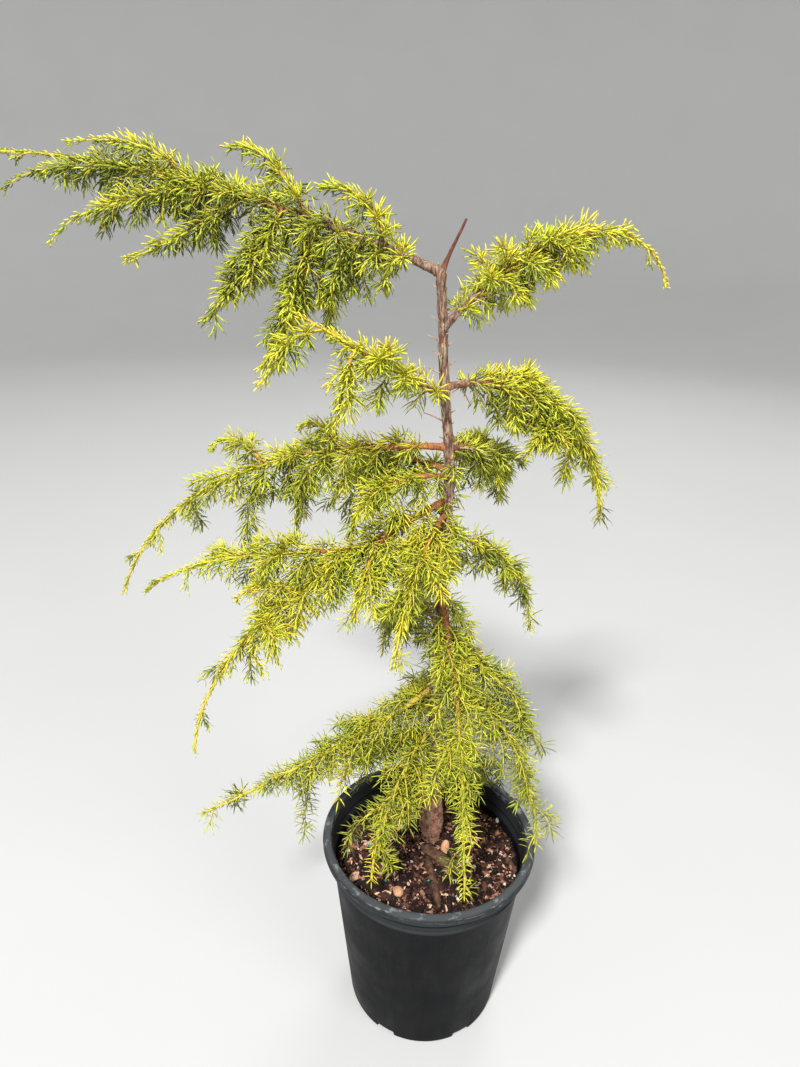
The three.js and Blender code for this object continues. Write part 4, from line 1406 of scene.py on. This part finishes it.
def whorls_on(kind, pitch, draw):
    """Whorls of three needles, evenly spaced along each stem from its bare foot to its tip, each
    turned a sixth of a circle from the last. One row for each needle."""
    leafy = (1 - kind["bare"]) * kind["lengths"]
    counts = np.maximum(LEAST_WHORLS, np.round(leafy / pitch)).astype(int)
    which, index = numbered(counts)
    share = kind["bare"][which] + (1 - kind["bare"][which]) * (index + 0.6) / counts[which]
    start = draw.uniform(0, 2 * np.pi, len(counts))
    turn = start[which] + index * np.pi / 3
    which, share = np.repeat(which, 3), np.repeat(share, 3)
    turn = np.repeat(turn, 3) + np.tile(full_turn(3), len(index))
    turn = turn + draw.normal(0, WHORL_UNEVENNESS, len(turn))
    return which, share, turn


def needles_on(kind, pitch, length, wide_open, tail_open, draw):
    """Needles round one kind of stem. They stand wide at its foot, lean forwards along its tail,
    and close up round its tip, where they are shorter. Low in the crown they stand wider, thinner
    and further apart. Gives places, frames, sizes and how sunlit each one is."""
    which, share, turn = whorls_on(kind, pitch, draw)
    root = points_at(kind["paths"], which, share)
    loss = LOOSE_LOSS * looseness(root) + STOUT_LOSS * stoutness(root)
    loss = loss + TIGHT_LOSS * tightness(kind, which, share)
    kept = draw.random(len(which)) > loss
    which, share, turn, root = which[kept], share[kept], turn[kept], root[kept]
    loose, stout, tight = looseness(root), stoutness(root), tightness(kind, which, share)
    count = len(which)
    forward = directions_at(kind["paths"], which, share)
    beside = unit(np.cross(forward, FIRST_CORNER))
    above = np.cross(beside, forward)
    outward = beside * np.cos(turn)[:, None] + above * np.sin(turn)[:, None]
    left = (1 - share) * kind["lengths"][which]
    closing = 1 - smooth_step(left, *TIP_CLOSES)
    tail = smooth_step(share, *TAIL_BETWEEN)
    opening = lerp(lerp(wide_open, tail_open, tail), LOOSE_OPENING, 0.85 * loose)
    opening = lerp(opening, np.minimum(opening, TIGHT_OPENING), tight)
    opening = lerp(opening, TIP_OPENING, closing) + draw.normal(0, OPENING_PLAY, count)
    opening = np.radians(opening)[:, None]
    lift = np.array([0, 0, NEEDLE_LIFT])
    aim = unit(forward * np.cos(opening) + outward * np.sin(opening) + lift)
    root = root + outward * (ROOT_DEPTH * kind["radius"][which] * (1 - share))[:, None]
    side = unit(np.cross(forward, outward))
    normal = unit(np.cross(aim, side))
    side = np.cross(normal, aim)
    lengths = length * lerp(1, TIP_NEEDLE_LENGTH, closing) * draw.uniform(*NEEDLE_LENGTH_PLAY, count)
    facing_up = SUN_BY_AIM * aim[:, 2] + SUN_BY_SIDE * outward[:, 2]
    return {
        "root": root,
        "frames": np.stack([side, normal, aim], axis=1),
        "lengths": lengths * lerp(1, TIGHT_LENGTH, tight),
        "widths": 1 - LOOSE_THINNING * loose + STOUT_WIDTH * stout,
        "lit": facing_up + SUN_AT_TIP * closing - LOOSE_SHADE * loose,
        "which": which,
    }


def sunlit_by_place(points):
    """How much light reaches a place in the crown: more in front, high up and out on the right, less
    in the long top bough and the lower left one, and least low down on the right."""
    x, y, z = points.T
    lower_half = 1 - smooth_step(z, 300, 400)
    front = smooth_step(-y, -40, 60)
    out_right = (1 - lower_half) * smooth_step(x, 50, 100)
    top_left = smooth_step(z, 500, 600) * smooth_step(-x, 0, 120)
    low_right = lower_half * smooth_step(x, 10, 60)
    lower_left = lower_half * smooth_step(-x, 60, 140)
    sun = FRONT_SUN * front + TOP_SUN * stoutness(points) + OUT_RIGHT_SUN * out_right
    shade = TOP_LEFT_SHADE * top_left + LOW_RIGHT_SHADE * low_right + LOWER_LEFT_SHADE * lower_left
    return sun - shade


# What a user may change


def colour_setting(name, description, *screen):
    """A colour that a user may change, given as a screen colour."""
    return bpy.props.FloatVectorProperty(
        name=name, description=f"Colour of {description}", subtype="COLOR", size=4,
        default=colour(*screen), min=0, max=1,
    )


def length_setting(name, description, usual, least, most):
    """A length that a user may change, given in millimetres."""
    return bpy.props.FloatProperty(
        name=name, description=description, unit="LENGTH",
        default=usual * MM, min=least * MM, max=most * MM,
    )


class PotSettings(bpy.types.PropertyGroup):
    wall: colour_setting("Wall", "the pot's plastic", 12, 12, 14)
    streak: colour_setting("Streaks", "the flow streaks in the wall", 22, 23, 25)
    # Painted sky light: the colour that the band under the lip is painted towards.
    band: colour_setting("Band", "the rubbed band under the lip", 64, 68, 70)
    # This colour is for the scuffs on the lip, and also for the painted highlight along its top edge.
    scuff_and_highlight: colour_setting("Scuffs", "the scuffs on the lip", 140, 144, 146)
    dust: colour_setting("Dust", "the dust on the pot", 70, 70, 70)


class SoilSettings(bpy.types.PropertyGroup):
    chips: bpy.props.IntProperty(
        name="Chips", description="How many pieces of bark lie on the soil",
        default=6400, min=0, max=9000,
    )
    chip_length: length_setting("Chip length", "Length of a middling piece of bark", 3.2, 1, 20)
    base: colour_setting("Soil", "the mix between the chips", 34, 20, 15)


class BarkSettings(bpy.types.PropertyGroup):
    tip: colour_setting("Tips", "the newest wood", 212, 198, 74)
    amber: colour_setting("Young wood", "last year's wood", 218, 170, 76)
    red: colour_setting("Boughs", "the boughs' bark", 174, 108, 64)
    old: colour_setting("Old bark", "the trunk's bark", 150, 122, 104)
    stain: colour_setting("Stains", "the dark patches in old bark", 100, 52, 44)
    foot: colour_setting("Foot", "the trunk's thick foot", 204, 148, 122)
    pale: colour_setting("Peeling bark", "the bark that peels", 192, 170, 142)
    dead: colour_setting("Dead twigs", "the dead twigs", 178, 150, 124)
    strips: bpy.props.IntProperty(
        name="Peeling strips", description="How many strips of bark peel from the trunk",
        default=110, min=0, max=2000,
    )


class FoliageSettings(bpy.types.PropertyGroup):
    needle_length: length_setting("Needle length", "Length of a full-grown needle", 10.8, 3, 20)
    needle_width: length_setting("Needle width", "Width of a needle at its widest", 1.12, 0.3, 4)
    whorl_pitch: length_setting(
        "Whorl pitch", "Distance from one whorl of needles to the next", 1.95, 0.5, 10
    )
    gold: colour_setting("Gold", "the needles in full sun", 211, 200, 58)
    lime: colour_setting("Lime", "the bright needles", 193, 197, 58)
    fresh: colour_setting("Fresh green", "the needles in half light", 169, 175, 54)
    green: colour_setting("Green", "the needles underneath", 134, 141, 47)
    deep: colour_setting("Deep green", "the needles inside the crown", 88, 95, 34)


class StageSettings(bpy.types.PropertyGroup):
    floor: colour_setting("Floor", "the floor and backdrop", 188, 188, 186)
    light: bpy.props.FloatProperty(
        name="Light", description="Strength of the studio light, as a share of the usual",
        default=1.0, min=0, max=10,
    )


# Operators

# The chips of each tint: their colour, and their share of all chips.
CHIP_ROWS = [
    ("dark", (30, 19, 15), 0.40),
    ("brown", (62, 39, 31), 0.28),
    ("red", (102, 64, 50), 0.16),
    ("pink", (160, 112, 90), 0.09),
    ("tan", (216, 176, 146), 0.07),
]
LARGE_CHIP_SHARE = 0.1

# Stones on the soil. Most lie by chance; the large pumice and the pebbles have their own places.
PUMICE_COUNT = 60
LARGE_PUMICE = [(60, 40), (-62, 2), (20, -28)]
LARGE_PUMICE_SIZE = 4.6, 3.2, 3.0
PEBBLES = [(-23.0, -39.0), (14.0, 4.0)]
PEBBLE_LIFTS = 2.6, 4.0
PEBBLE_SIZES = [(11.5, 8.0, 6.5), (7.0, 6.0, 12.0)]
PRILL_COUNT = 9
PRILL_SIZE = 2.6

# Sticks on the soil: from where, to where, and how thick.
STICK_ROWS = [
    ((-4, 5), (26, -22), 4.0),
    ((0, -6), (7, -52), 2.8),
    ((62, -2), (69, -14), 2.0),
    ((-28, 30), (-50, 24), 1.8),
]

STEM_SIDES = {"leads": 9, "shoots": 6, "twigs": 5}

# The needles on each kind of stem: how much wider apart their whorls are and how much longer they
# are than a shoot's, how far they open at the foot and along the tail, and how sunlit they are.
NEEDLE_ROWS = [
    ("stems", 0.95, 0.72, 38, 16, 0.4),
    ("leads", 0.95, 0.82, 44, 24, 0.3),
    ("shoots", 1.0, 1.0, 56, 46, 0.0),
    ("twigs", 1.0, 0.92, 52, 44, 0.0),
]
STEM_LUCK = 0.26
NEEDLE_LUCK = 0.06

# The tints from shade to sun, each with the share of all needles that it and the darker ones take.
TINT_ROWS = [("deep", 0.14), ("green", 0.38), ("fresh", 0.66), ("lime", 0.88), ("gold", 1.0)]

# In metres and watts: the lamps' places, sizes and powers, and the spot that they aim at.
LAMP_ROWS = [
    ("key", (-1.1, -2.9, 3.9), 0.7, 385),
    ("fill", (2.6, -2.4, 1.9), 2.4, 60),
    ("rim", (0.8, 2.4, 2.6), 1.6, 34),
]
LIT_SPOT = -0.03, 0, 0.34
SKY = 0.93, 0.96, 1.0, 1
SKY_STRENGTH = 0.3

# The floor's outline in millimetres: radius, height and rounding.
FLOOR_OUTLINE = [(500, -0.5, 0), (5200, -0.5, 1800), (6400, 3600, 0), (6400, 3700, 0)]
FLOOR_ANGLES = 96

# The photograph's view. The focal length is in pixels of a picture that is 1067 high.
CAMERA_PLACE = -0.02872, -0.45738, 0.59572
CAMERA_PITCH = 22.253
CAMERA_ROLL = 1.544
FOCAL_PIXELS = 752.17
PICTURE_HEIGHT = 1067
FILM_SIZE = 36


def foliage_nodes():
    return [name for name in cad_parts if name.startswith("foliage_")]


def soil_piece(name, shapes, skin, smooth=True):
    make_piece(name, shapes, skin, ["soil"], smooth)


class PLANT_OT_pot(bpy.types.Operator):
    """Make the nursery pot"""

    bl_idname = "plant.make_pot"
    bl_label = "Pot"

    def execute(self, context):
        skin = pot_plastic(context.scene.juniper_pot)
        make_piece("nursery_pot", [pot_shape()], skin, ["pot"])
        return {"FINISHED"}


class PLANT_OT_soil(bpy.types.Operator):
    """Make the bark mix in the pot, and what lies on it"""

    bl_idname = "plant.make_soil"
    bl_label = "Soil"

    def execute(self, context):
        settings = context.scene.juniper_soil
        ground = crumbly("bark mix", settings.base, 0.5, 160.0)
        soil_piece("soil_bed", [soil_shape()], ground)
        draw = np.random.default_rng(SOIL_SEED)
        self.lay_chips(draw, settings.chips, settings.chip_length / MM)
        self.lay_stones(draw)
        self.lay_sticks(draw)
        return {"FINISHED"}

    def lay_chips(self, draw, total, long):
        """Split bark in a few tints. One in ten is large, and lies flatter than the rest."""
        for name, tint, share in CHIP_ROWS:
            count = int(total * share)
            few = int(count * LARGE_CHIP_SHARE)
            many = int(count * (1 - LARGE_CHIP_SHARE))
            small = chips_shape(draw, many, long, long * 0.42, long * 0.24, 52, 2.0)
            large = chips_shape(draw, few, long * 2.1, long * 1.0, long * 0.34, 24, 1.0, 8)
            skin = crumbly(f"bark chip {name}", colour(*tint), 0.35, 420.0)
            soil_piece(f"chips_{name}", [small, large], skin, smooth=False)

    def lay_stones(self, draw):
        """White pumice, two tan pebbles, and a few prills of plant food."""
        spots = spots_on_soil(draw, PUMICE_COUNT, keep_off=12)
        spots[:, 2] += 1.0
        sizes = draw.uniform(1.4, 3.4, (len(spots), 1)) * draw.uniform(0.7, 1.1, (len(spots), 3))
        spots[:3, :2] = LARGE_PUMICE
        spots[:3, 2] = soil_height(spots[:3, 0], spots[:3, 1]) + 1.5
        sizes[:3] = LARGE_PUMICE_SIZE
        white = crumbly("pumice", colour(222, 212, 200), 0.12, 500.0)
        soil_piece("pumice", [pebble_shape(spots, sizes, draw, rough=0.1)], white)
        x, y = np.array(PEBBLES).T
        spots = np.column_stack([x, y, soil_height(x, y) + PEBBLE_LIFTS])
        tan = crumbly("tan pebble", colour(206, 158, 118), 0.12, 200.0, 0.6)
        stone = pebble_shape(spots, np.array(PEBBLE_SIZES), draw, 16, 28, 0.012)
        soil_piece("pebble", [stone], tan)
        spots = spots_on_soil(draw, PRILL_COUNT, keep_off=14)
        spots[:, 2] += 1.6
        teal = crumbly("plant food prill", colour(70, 150, 128), 0.08, 300.0, 0.35)
        prills = pebble_shape(spots, np.full((len(spots), 3), PRILL_SIZE), draw, 8, 14, 0.01)
        soil_piece("prills", [prills], teal)

    def lay_sticks(self, draw):
        """Weathered sticks: two long ones by the trunk's foot, and two short ones further out."""
        skin = crumbly("weathered wood", colour(92, 66, 50), 0.6, 300.0)
        sticks = []
        for start, end, radius in STICK_ROWS:
            ends = np.array([start, end], float)
            heights = soil_height(ends[:, 0], ends[:, 1]) + radius
            sticks.append(stick_shape(*np.column_stack([ends, heights]), radius, draw))
        soil_piece("sticks", sticks, skin)


class PLANT_OT_trunk(bpy.types.Operator):
    """Make the trunk with its bark"""

    bl_idname = "plant.make_trunk"
    bl_label = "Trunk"

    def execute(self, context):
        settings = context.scene.juniper_bark
        shape, heights = trunk_shape()
        # A little younger in the crown, more so on the leader, and beyond 1 at the foot.
        age = 1 - 0.05 * smooth_step(heights, 380, 560) - 0.22 * smooth_step(heights, 566, 576)
        age = age + 0.3 * (1 - smooth_step(heights, 165, 215))
        dark = 0.85 * smooth_step(heights, 568, 577)
        marks = {"age": np.repeat(age, TRUNK_SIDES), "dark": np.repeat(dark, TRUNK_SIDES)}
        make_piece("trunk_bark", [shape], bark_skin(settings), ["trunk"], marks=marks)
        heights = heights[heights < TRUNK_FORK_HEIGHT]
        draw = np.random.default_rng(STRIP_SEED)
        line, radii = trunk_points(heights), trunk_radius(heights)
        strips = strips_shape(draw, line, radii, settings.strips)
        pale = crumbly("peeling bark", settings.pale, 0.35, 300.0, 0.8)
        make_piece("bark_strips", [strips], pale, ["trunk"])
        dead = crumbly("dead twigs", settings.dead, 0.4, 260.0, 0.8)
        make_piece("dead_twigs", [spikes_shape(draw)], dead, ["trunk"])
        return {"FINISHED"}


class PLANT_OT_limbs(bpy.types.Operator):
    """Make the boughs, each from the trunk to its tip"""

    bl_idname = "plant.make_limbs"
    bl_label = "Boughs"

    def execute(self, context):
        skin = bark_skin(context.scene.juniper_bark)
        for seed, (name, limb) in enumerate(lay_out_limbs().items(), FIRST_LIMB_SEED):
            shape, share = limb_shape(limb, seed)
            oldest = OLD_WOOD.get(name, USUAL_OLD_WOOD)
            low = looseness(limb["path"][0])
            age = oldest * (1 - smooth_step(share, 0.1 - 0.1 * low, 0.85 - 0.55 * low))
            if name in TIGHT_TAILS:
                age = np.maximum(age, TAIL_AGE)
            marks = {"age": np.repeat(age, LIMB_SIDES)}
            make_piece(f"limb_{name}", [shape], skin, [f"bough_{name}"], marks=marks)
        return {"FINISHED"}


class PLANT_OT_twigs(bpy.types.Operator):
    """Make the leads, the shoots and the twigs"""

    bl_idname = "plant.make_twigs"
    bl_label = "Twigs"

    def execute(self, context):
        skin = bark_skin(context.scene.juniper_bark)
        kinds = lay_out_growth()
        for name, sides in STEM_SIDES.items():
            kind = kinds[name]
            share = np.linspace(0, 1, kind["paths"].shape[1])
            radii = lerp(kind["radius"][:, None], SHOOT_TIP_RADIUS, share)
            ages = lerp(kind["age"][:, None], 0, np.sqrt(share))
            marks = {"age": np.repeat(ages.ravel(), sides)}
            shape = tubes(kind["paths"], radii[..., None], sides)
            make_piece(f"stems_{name}", [shape], skin, foliage_nodes(), marks=marks)
        return {"FINISHED"}


class PLANT_OT_needles(bpy.types.Operator):
    """Make the needles, dealt out by tint"""

    bl_idname = "plant.make_needles"
    bl_label = "Needles"

    def execute(self, context):
        settings = context.scene.juniper_foliage
        draw = np.random.default_rng(NEEDLE_SEED)
        needles = self.grow(settings, draw)
        lit = needles["lit"] + draw.normal(0, NEEDLE_LUCK, len(needles["lit"]))
        rank = np.argsort(np.argsort(lit)) / len(lit)
        low = 0
        for name, high in TINT_ROWS:
            chosen = np.flatnonzero((rank >= low) & (rank < high))
            low = high
            skin = needle_skin(f"needle {name}", getattr(settings, name))
            parts = max(1, math.ceil(len(chosen) * NEEDLE_TRIANGLES / PIECE_TRIANGLES))
            for number, part in enumerate(np.array_split(chosen, parts), 1):
                places, frames, scales = (needles[key][part] for key in ("root", "frames", "scales"))
                shape = copies(NEEDLE_TEMPLATE, NEEDLE_FACES, places, frames, scales)
                make_piece(f"needles_{name}_{number}", [shape], skin, foliage_nodes())
        return {"FINISHED"}

    def grow(self, settings, draw):
        """All needles, on every kind of stem. Those of one stem are lit alike, by luck."""
        kinds = lay_out_growth()
        length, pitch = settings.needle_length / MM, settings.whorl_pitch / MM
        grown = []
        for name, wider, longer, wide_open, tail_open, sun in NEEDLE_ROWS:
            kind = kinds[name]
            needles = needles_on(kind, pitch * wider, length * longer, wide_open, tail_open, draw)
            luck = draw.normal(0, STEM_LUCK, len(kind["lengths"]))[needles.pop("which")]
            needles["lit"] = needles["lit"] + luck + sun + sunlit_by_place(needles["root"])
            widths = needles.pop("widths") * settings.needle_width / MM
            needles["scales"] = np.stack([widths, widths, needles.pop("lengths")], axis=-1)
            grown.append(needles)
        return joined(grown)


class PLANT_OT_stage(bpy.types.Operator):
    """Make the floor, the lights and the camera"""

    bl_idname = "plant.make_stage"
    bl_label = "Stage"

    def execute(self, context):
        settings = context.scene.juniper_stage
        context.scene.view_settings.view_transform = "Standard"
        self.lay_floor(settings)
        self.hang_lights(settings)
        self.set_camera(context)
        return {"FINISHED"}

    def lay_floor(self, settings):
        """A pale round floor that curves up into a backdrop on every side."""
        outline = rounded_outline(FLOOR_OUTLINE, 24)
        radii = np.repeat(outline[:, :1], FLOOR_ANGLES, axis=1)
        heights = np.repeat(outline[:, 1:], FLOOR_ANGLES, axis=1)
        points, faces = lathe(radii, heights, full_turn(FLOOR_ANGLES))
        material, tree, skin, place = new_material("studio floor", 0.85, 0.2)
        tint = played(tree, place, settings.floor, 3.0, 0.012, 0.0)
        tree.links.new(tint, skin.inputs["Base Color"])
        top = len(points) - 1
        rows = [row for face in faces for row in face[~(face == top).any(axis=1)].tolist()]
        mesh = bpy.data.meshes.new("studio_floor")
        mesh.from_pydata((points * MM).tolist(), [], rows)
        mesh.polygons.foreach_set("use_smooth", np.full(len(mesh.polygons), True))
        mesh.materials.append(material)
        floor = bpy.data.objects.new("studio_floor", mesh)
        bpy.context.scene.collection.objects.link(floor)

    def hang_lights(self, settings):
        """Three round lamps aimed at the plant, and an even sky."""
        for name, place, size, power in LAMP_ROWS:
            light = bpy.data.lights.new(name, "AREA")
            light.shape = "DISK"
            light.size = size
            light.energy = power * settings.light
            lamp = bpy.data.objects.new(name, light)
            lamp.location = place
            aim = Vector(LIT_SPOT) - Vector(place)
            lamp.rotation_euler = aim.to_track_quat("-Z", "Y").to_euler()
            bpy.context.scene.collection.objects.link(lamp)
        world = bpy.data.worlds.new("studio air")
        world.use_nodes = True
        air = world.node_tree.nodes["Background"]
        air.inputs["Color"].default_value = SKY
        air.inputs["Strength"].default_value = SKY_STRENGTH * settings.light
        bpy.context.scene.world = world

    def set_camera(self, context):
        """The photograph's view: from above and in front, looking down, with a slight roll."""
        camera = bpy.data.cameras.new("camera")
        camera.sensor_width = FILM_SIZE
        camera.lens = FOCAL_PIXELS / PICTURE_HEIGHT * FILM_SIZE
        camera.clip_start = 0.01
        eye = bpy.data.objects.new("camera", camera)
        tilt = Matrix.Rotation(math.radians(90 - CAMERA_PITCH), 4, "X")
        roll = Matrix.Rotation(math.radians(CAMERA_ROLL), 4, "Z")
        eye.matrix_world = Matrix.Translation(CAMERA_PLACE) @ tilt @ roll
        context.scene.collection.objects.link(eye)
        context.scene.camera = eye


SETTINGS = {
    "juniper_pot": PotSettings,
    "juniper_soil": SoilSettings,
    "juniper_bark": BarkSettings,
    "juniper_foliage": FoliageSettings,
    "juniper_stage": StageSettings,
}
OPERATORS = (
    PLANT_OT_stage, PLANT_OT_pot, PLANT_OT_soil, PLANT_OT_trunk, PLANT_OT_limbs, PLANT_OT_twigs,
    PLANT_OT_needles,
)


class PLANT_PT_panel(bpy.types.Panel):
    """Every operator, and what a user may change, in the 3D view's sidebar"""

    bl_idname = "PLANT_PT_juniper"
    bl_label = "Potted Juniper"
    bl_space_type = "VIEW_3D"
    bl_region_type = "UI"
    bl_category = "Juniper"

    def draw(self, context):
        for operator in OPERATORS:
            self.layout.operator(operator.bl_idname)
        for label, group in SETTINGS.items():
            box = self.layout.box()
            for field in group.__annotations__:
                box.prop(getattr(context.scene, label), field)


def register():
    for group in SETTINGS.values():
        bpy.utils.register_class(group)
    for operator in OPERATORS:
        bpy.utils.register_class(operator)
    bpy.utils.register_class(PLANT_PT_panel)
    for label, group in SETTINGS.items():
        setattr(bpy.types.Scene, label, bpy.props.PointerProperty(type=group))


def unregister():
    for label in SETTINGS:
        delattr(bpy.types.Scene, label)
    for known in (PLANT_PT_panel, *reversed(OPERATORS), *SETTINGS.values()):
        bpy.utils.unregister_class(known)


def main():
    register()
    for operator in OPERATORS:
        getattr(bpy.ops.plant, operator.bl_idname.split(".")[1])()


if __name__ == "__main__":
    main()
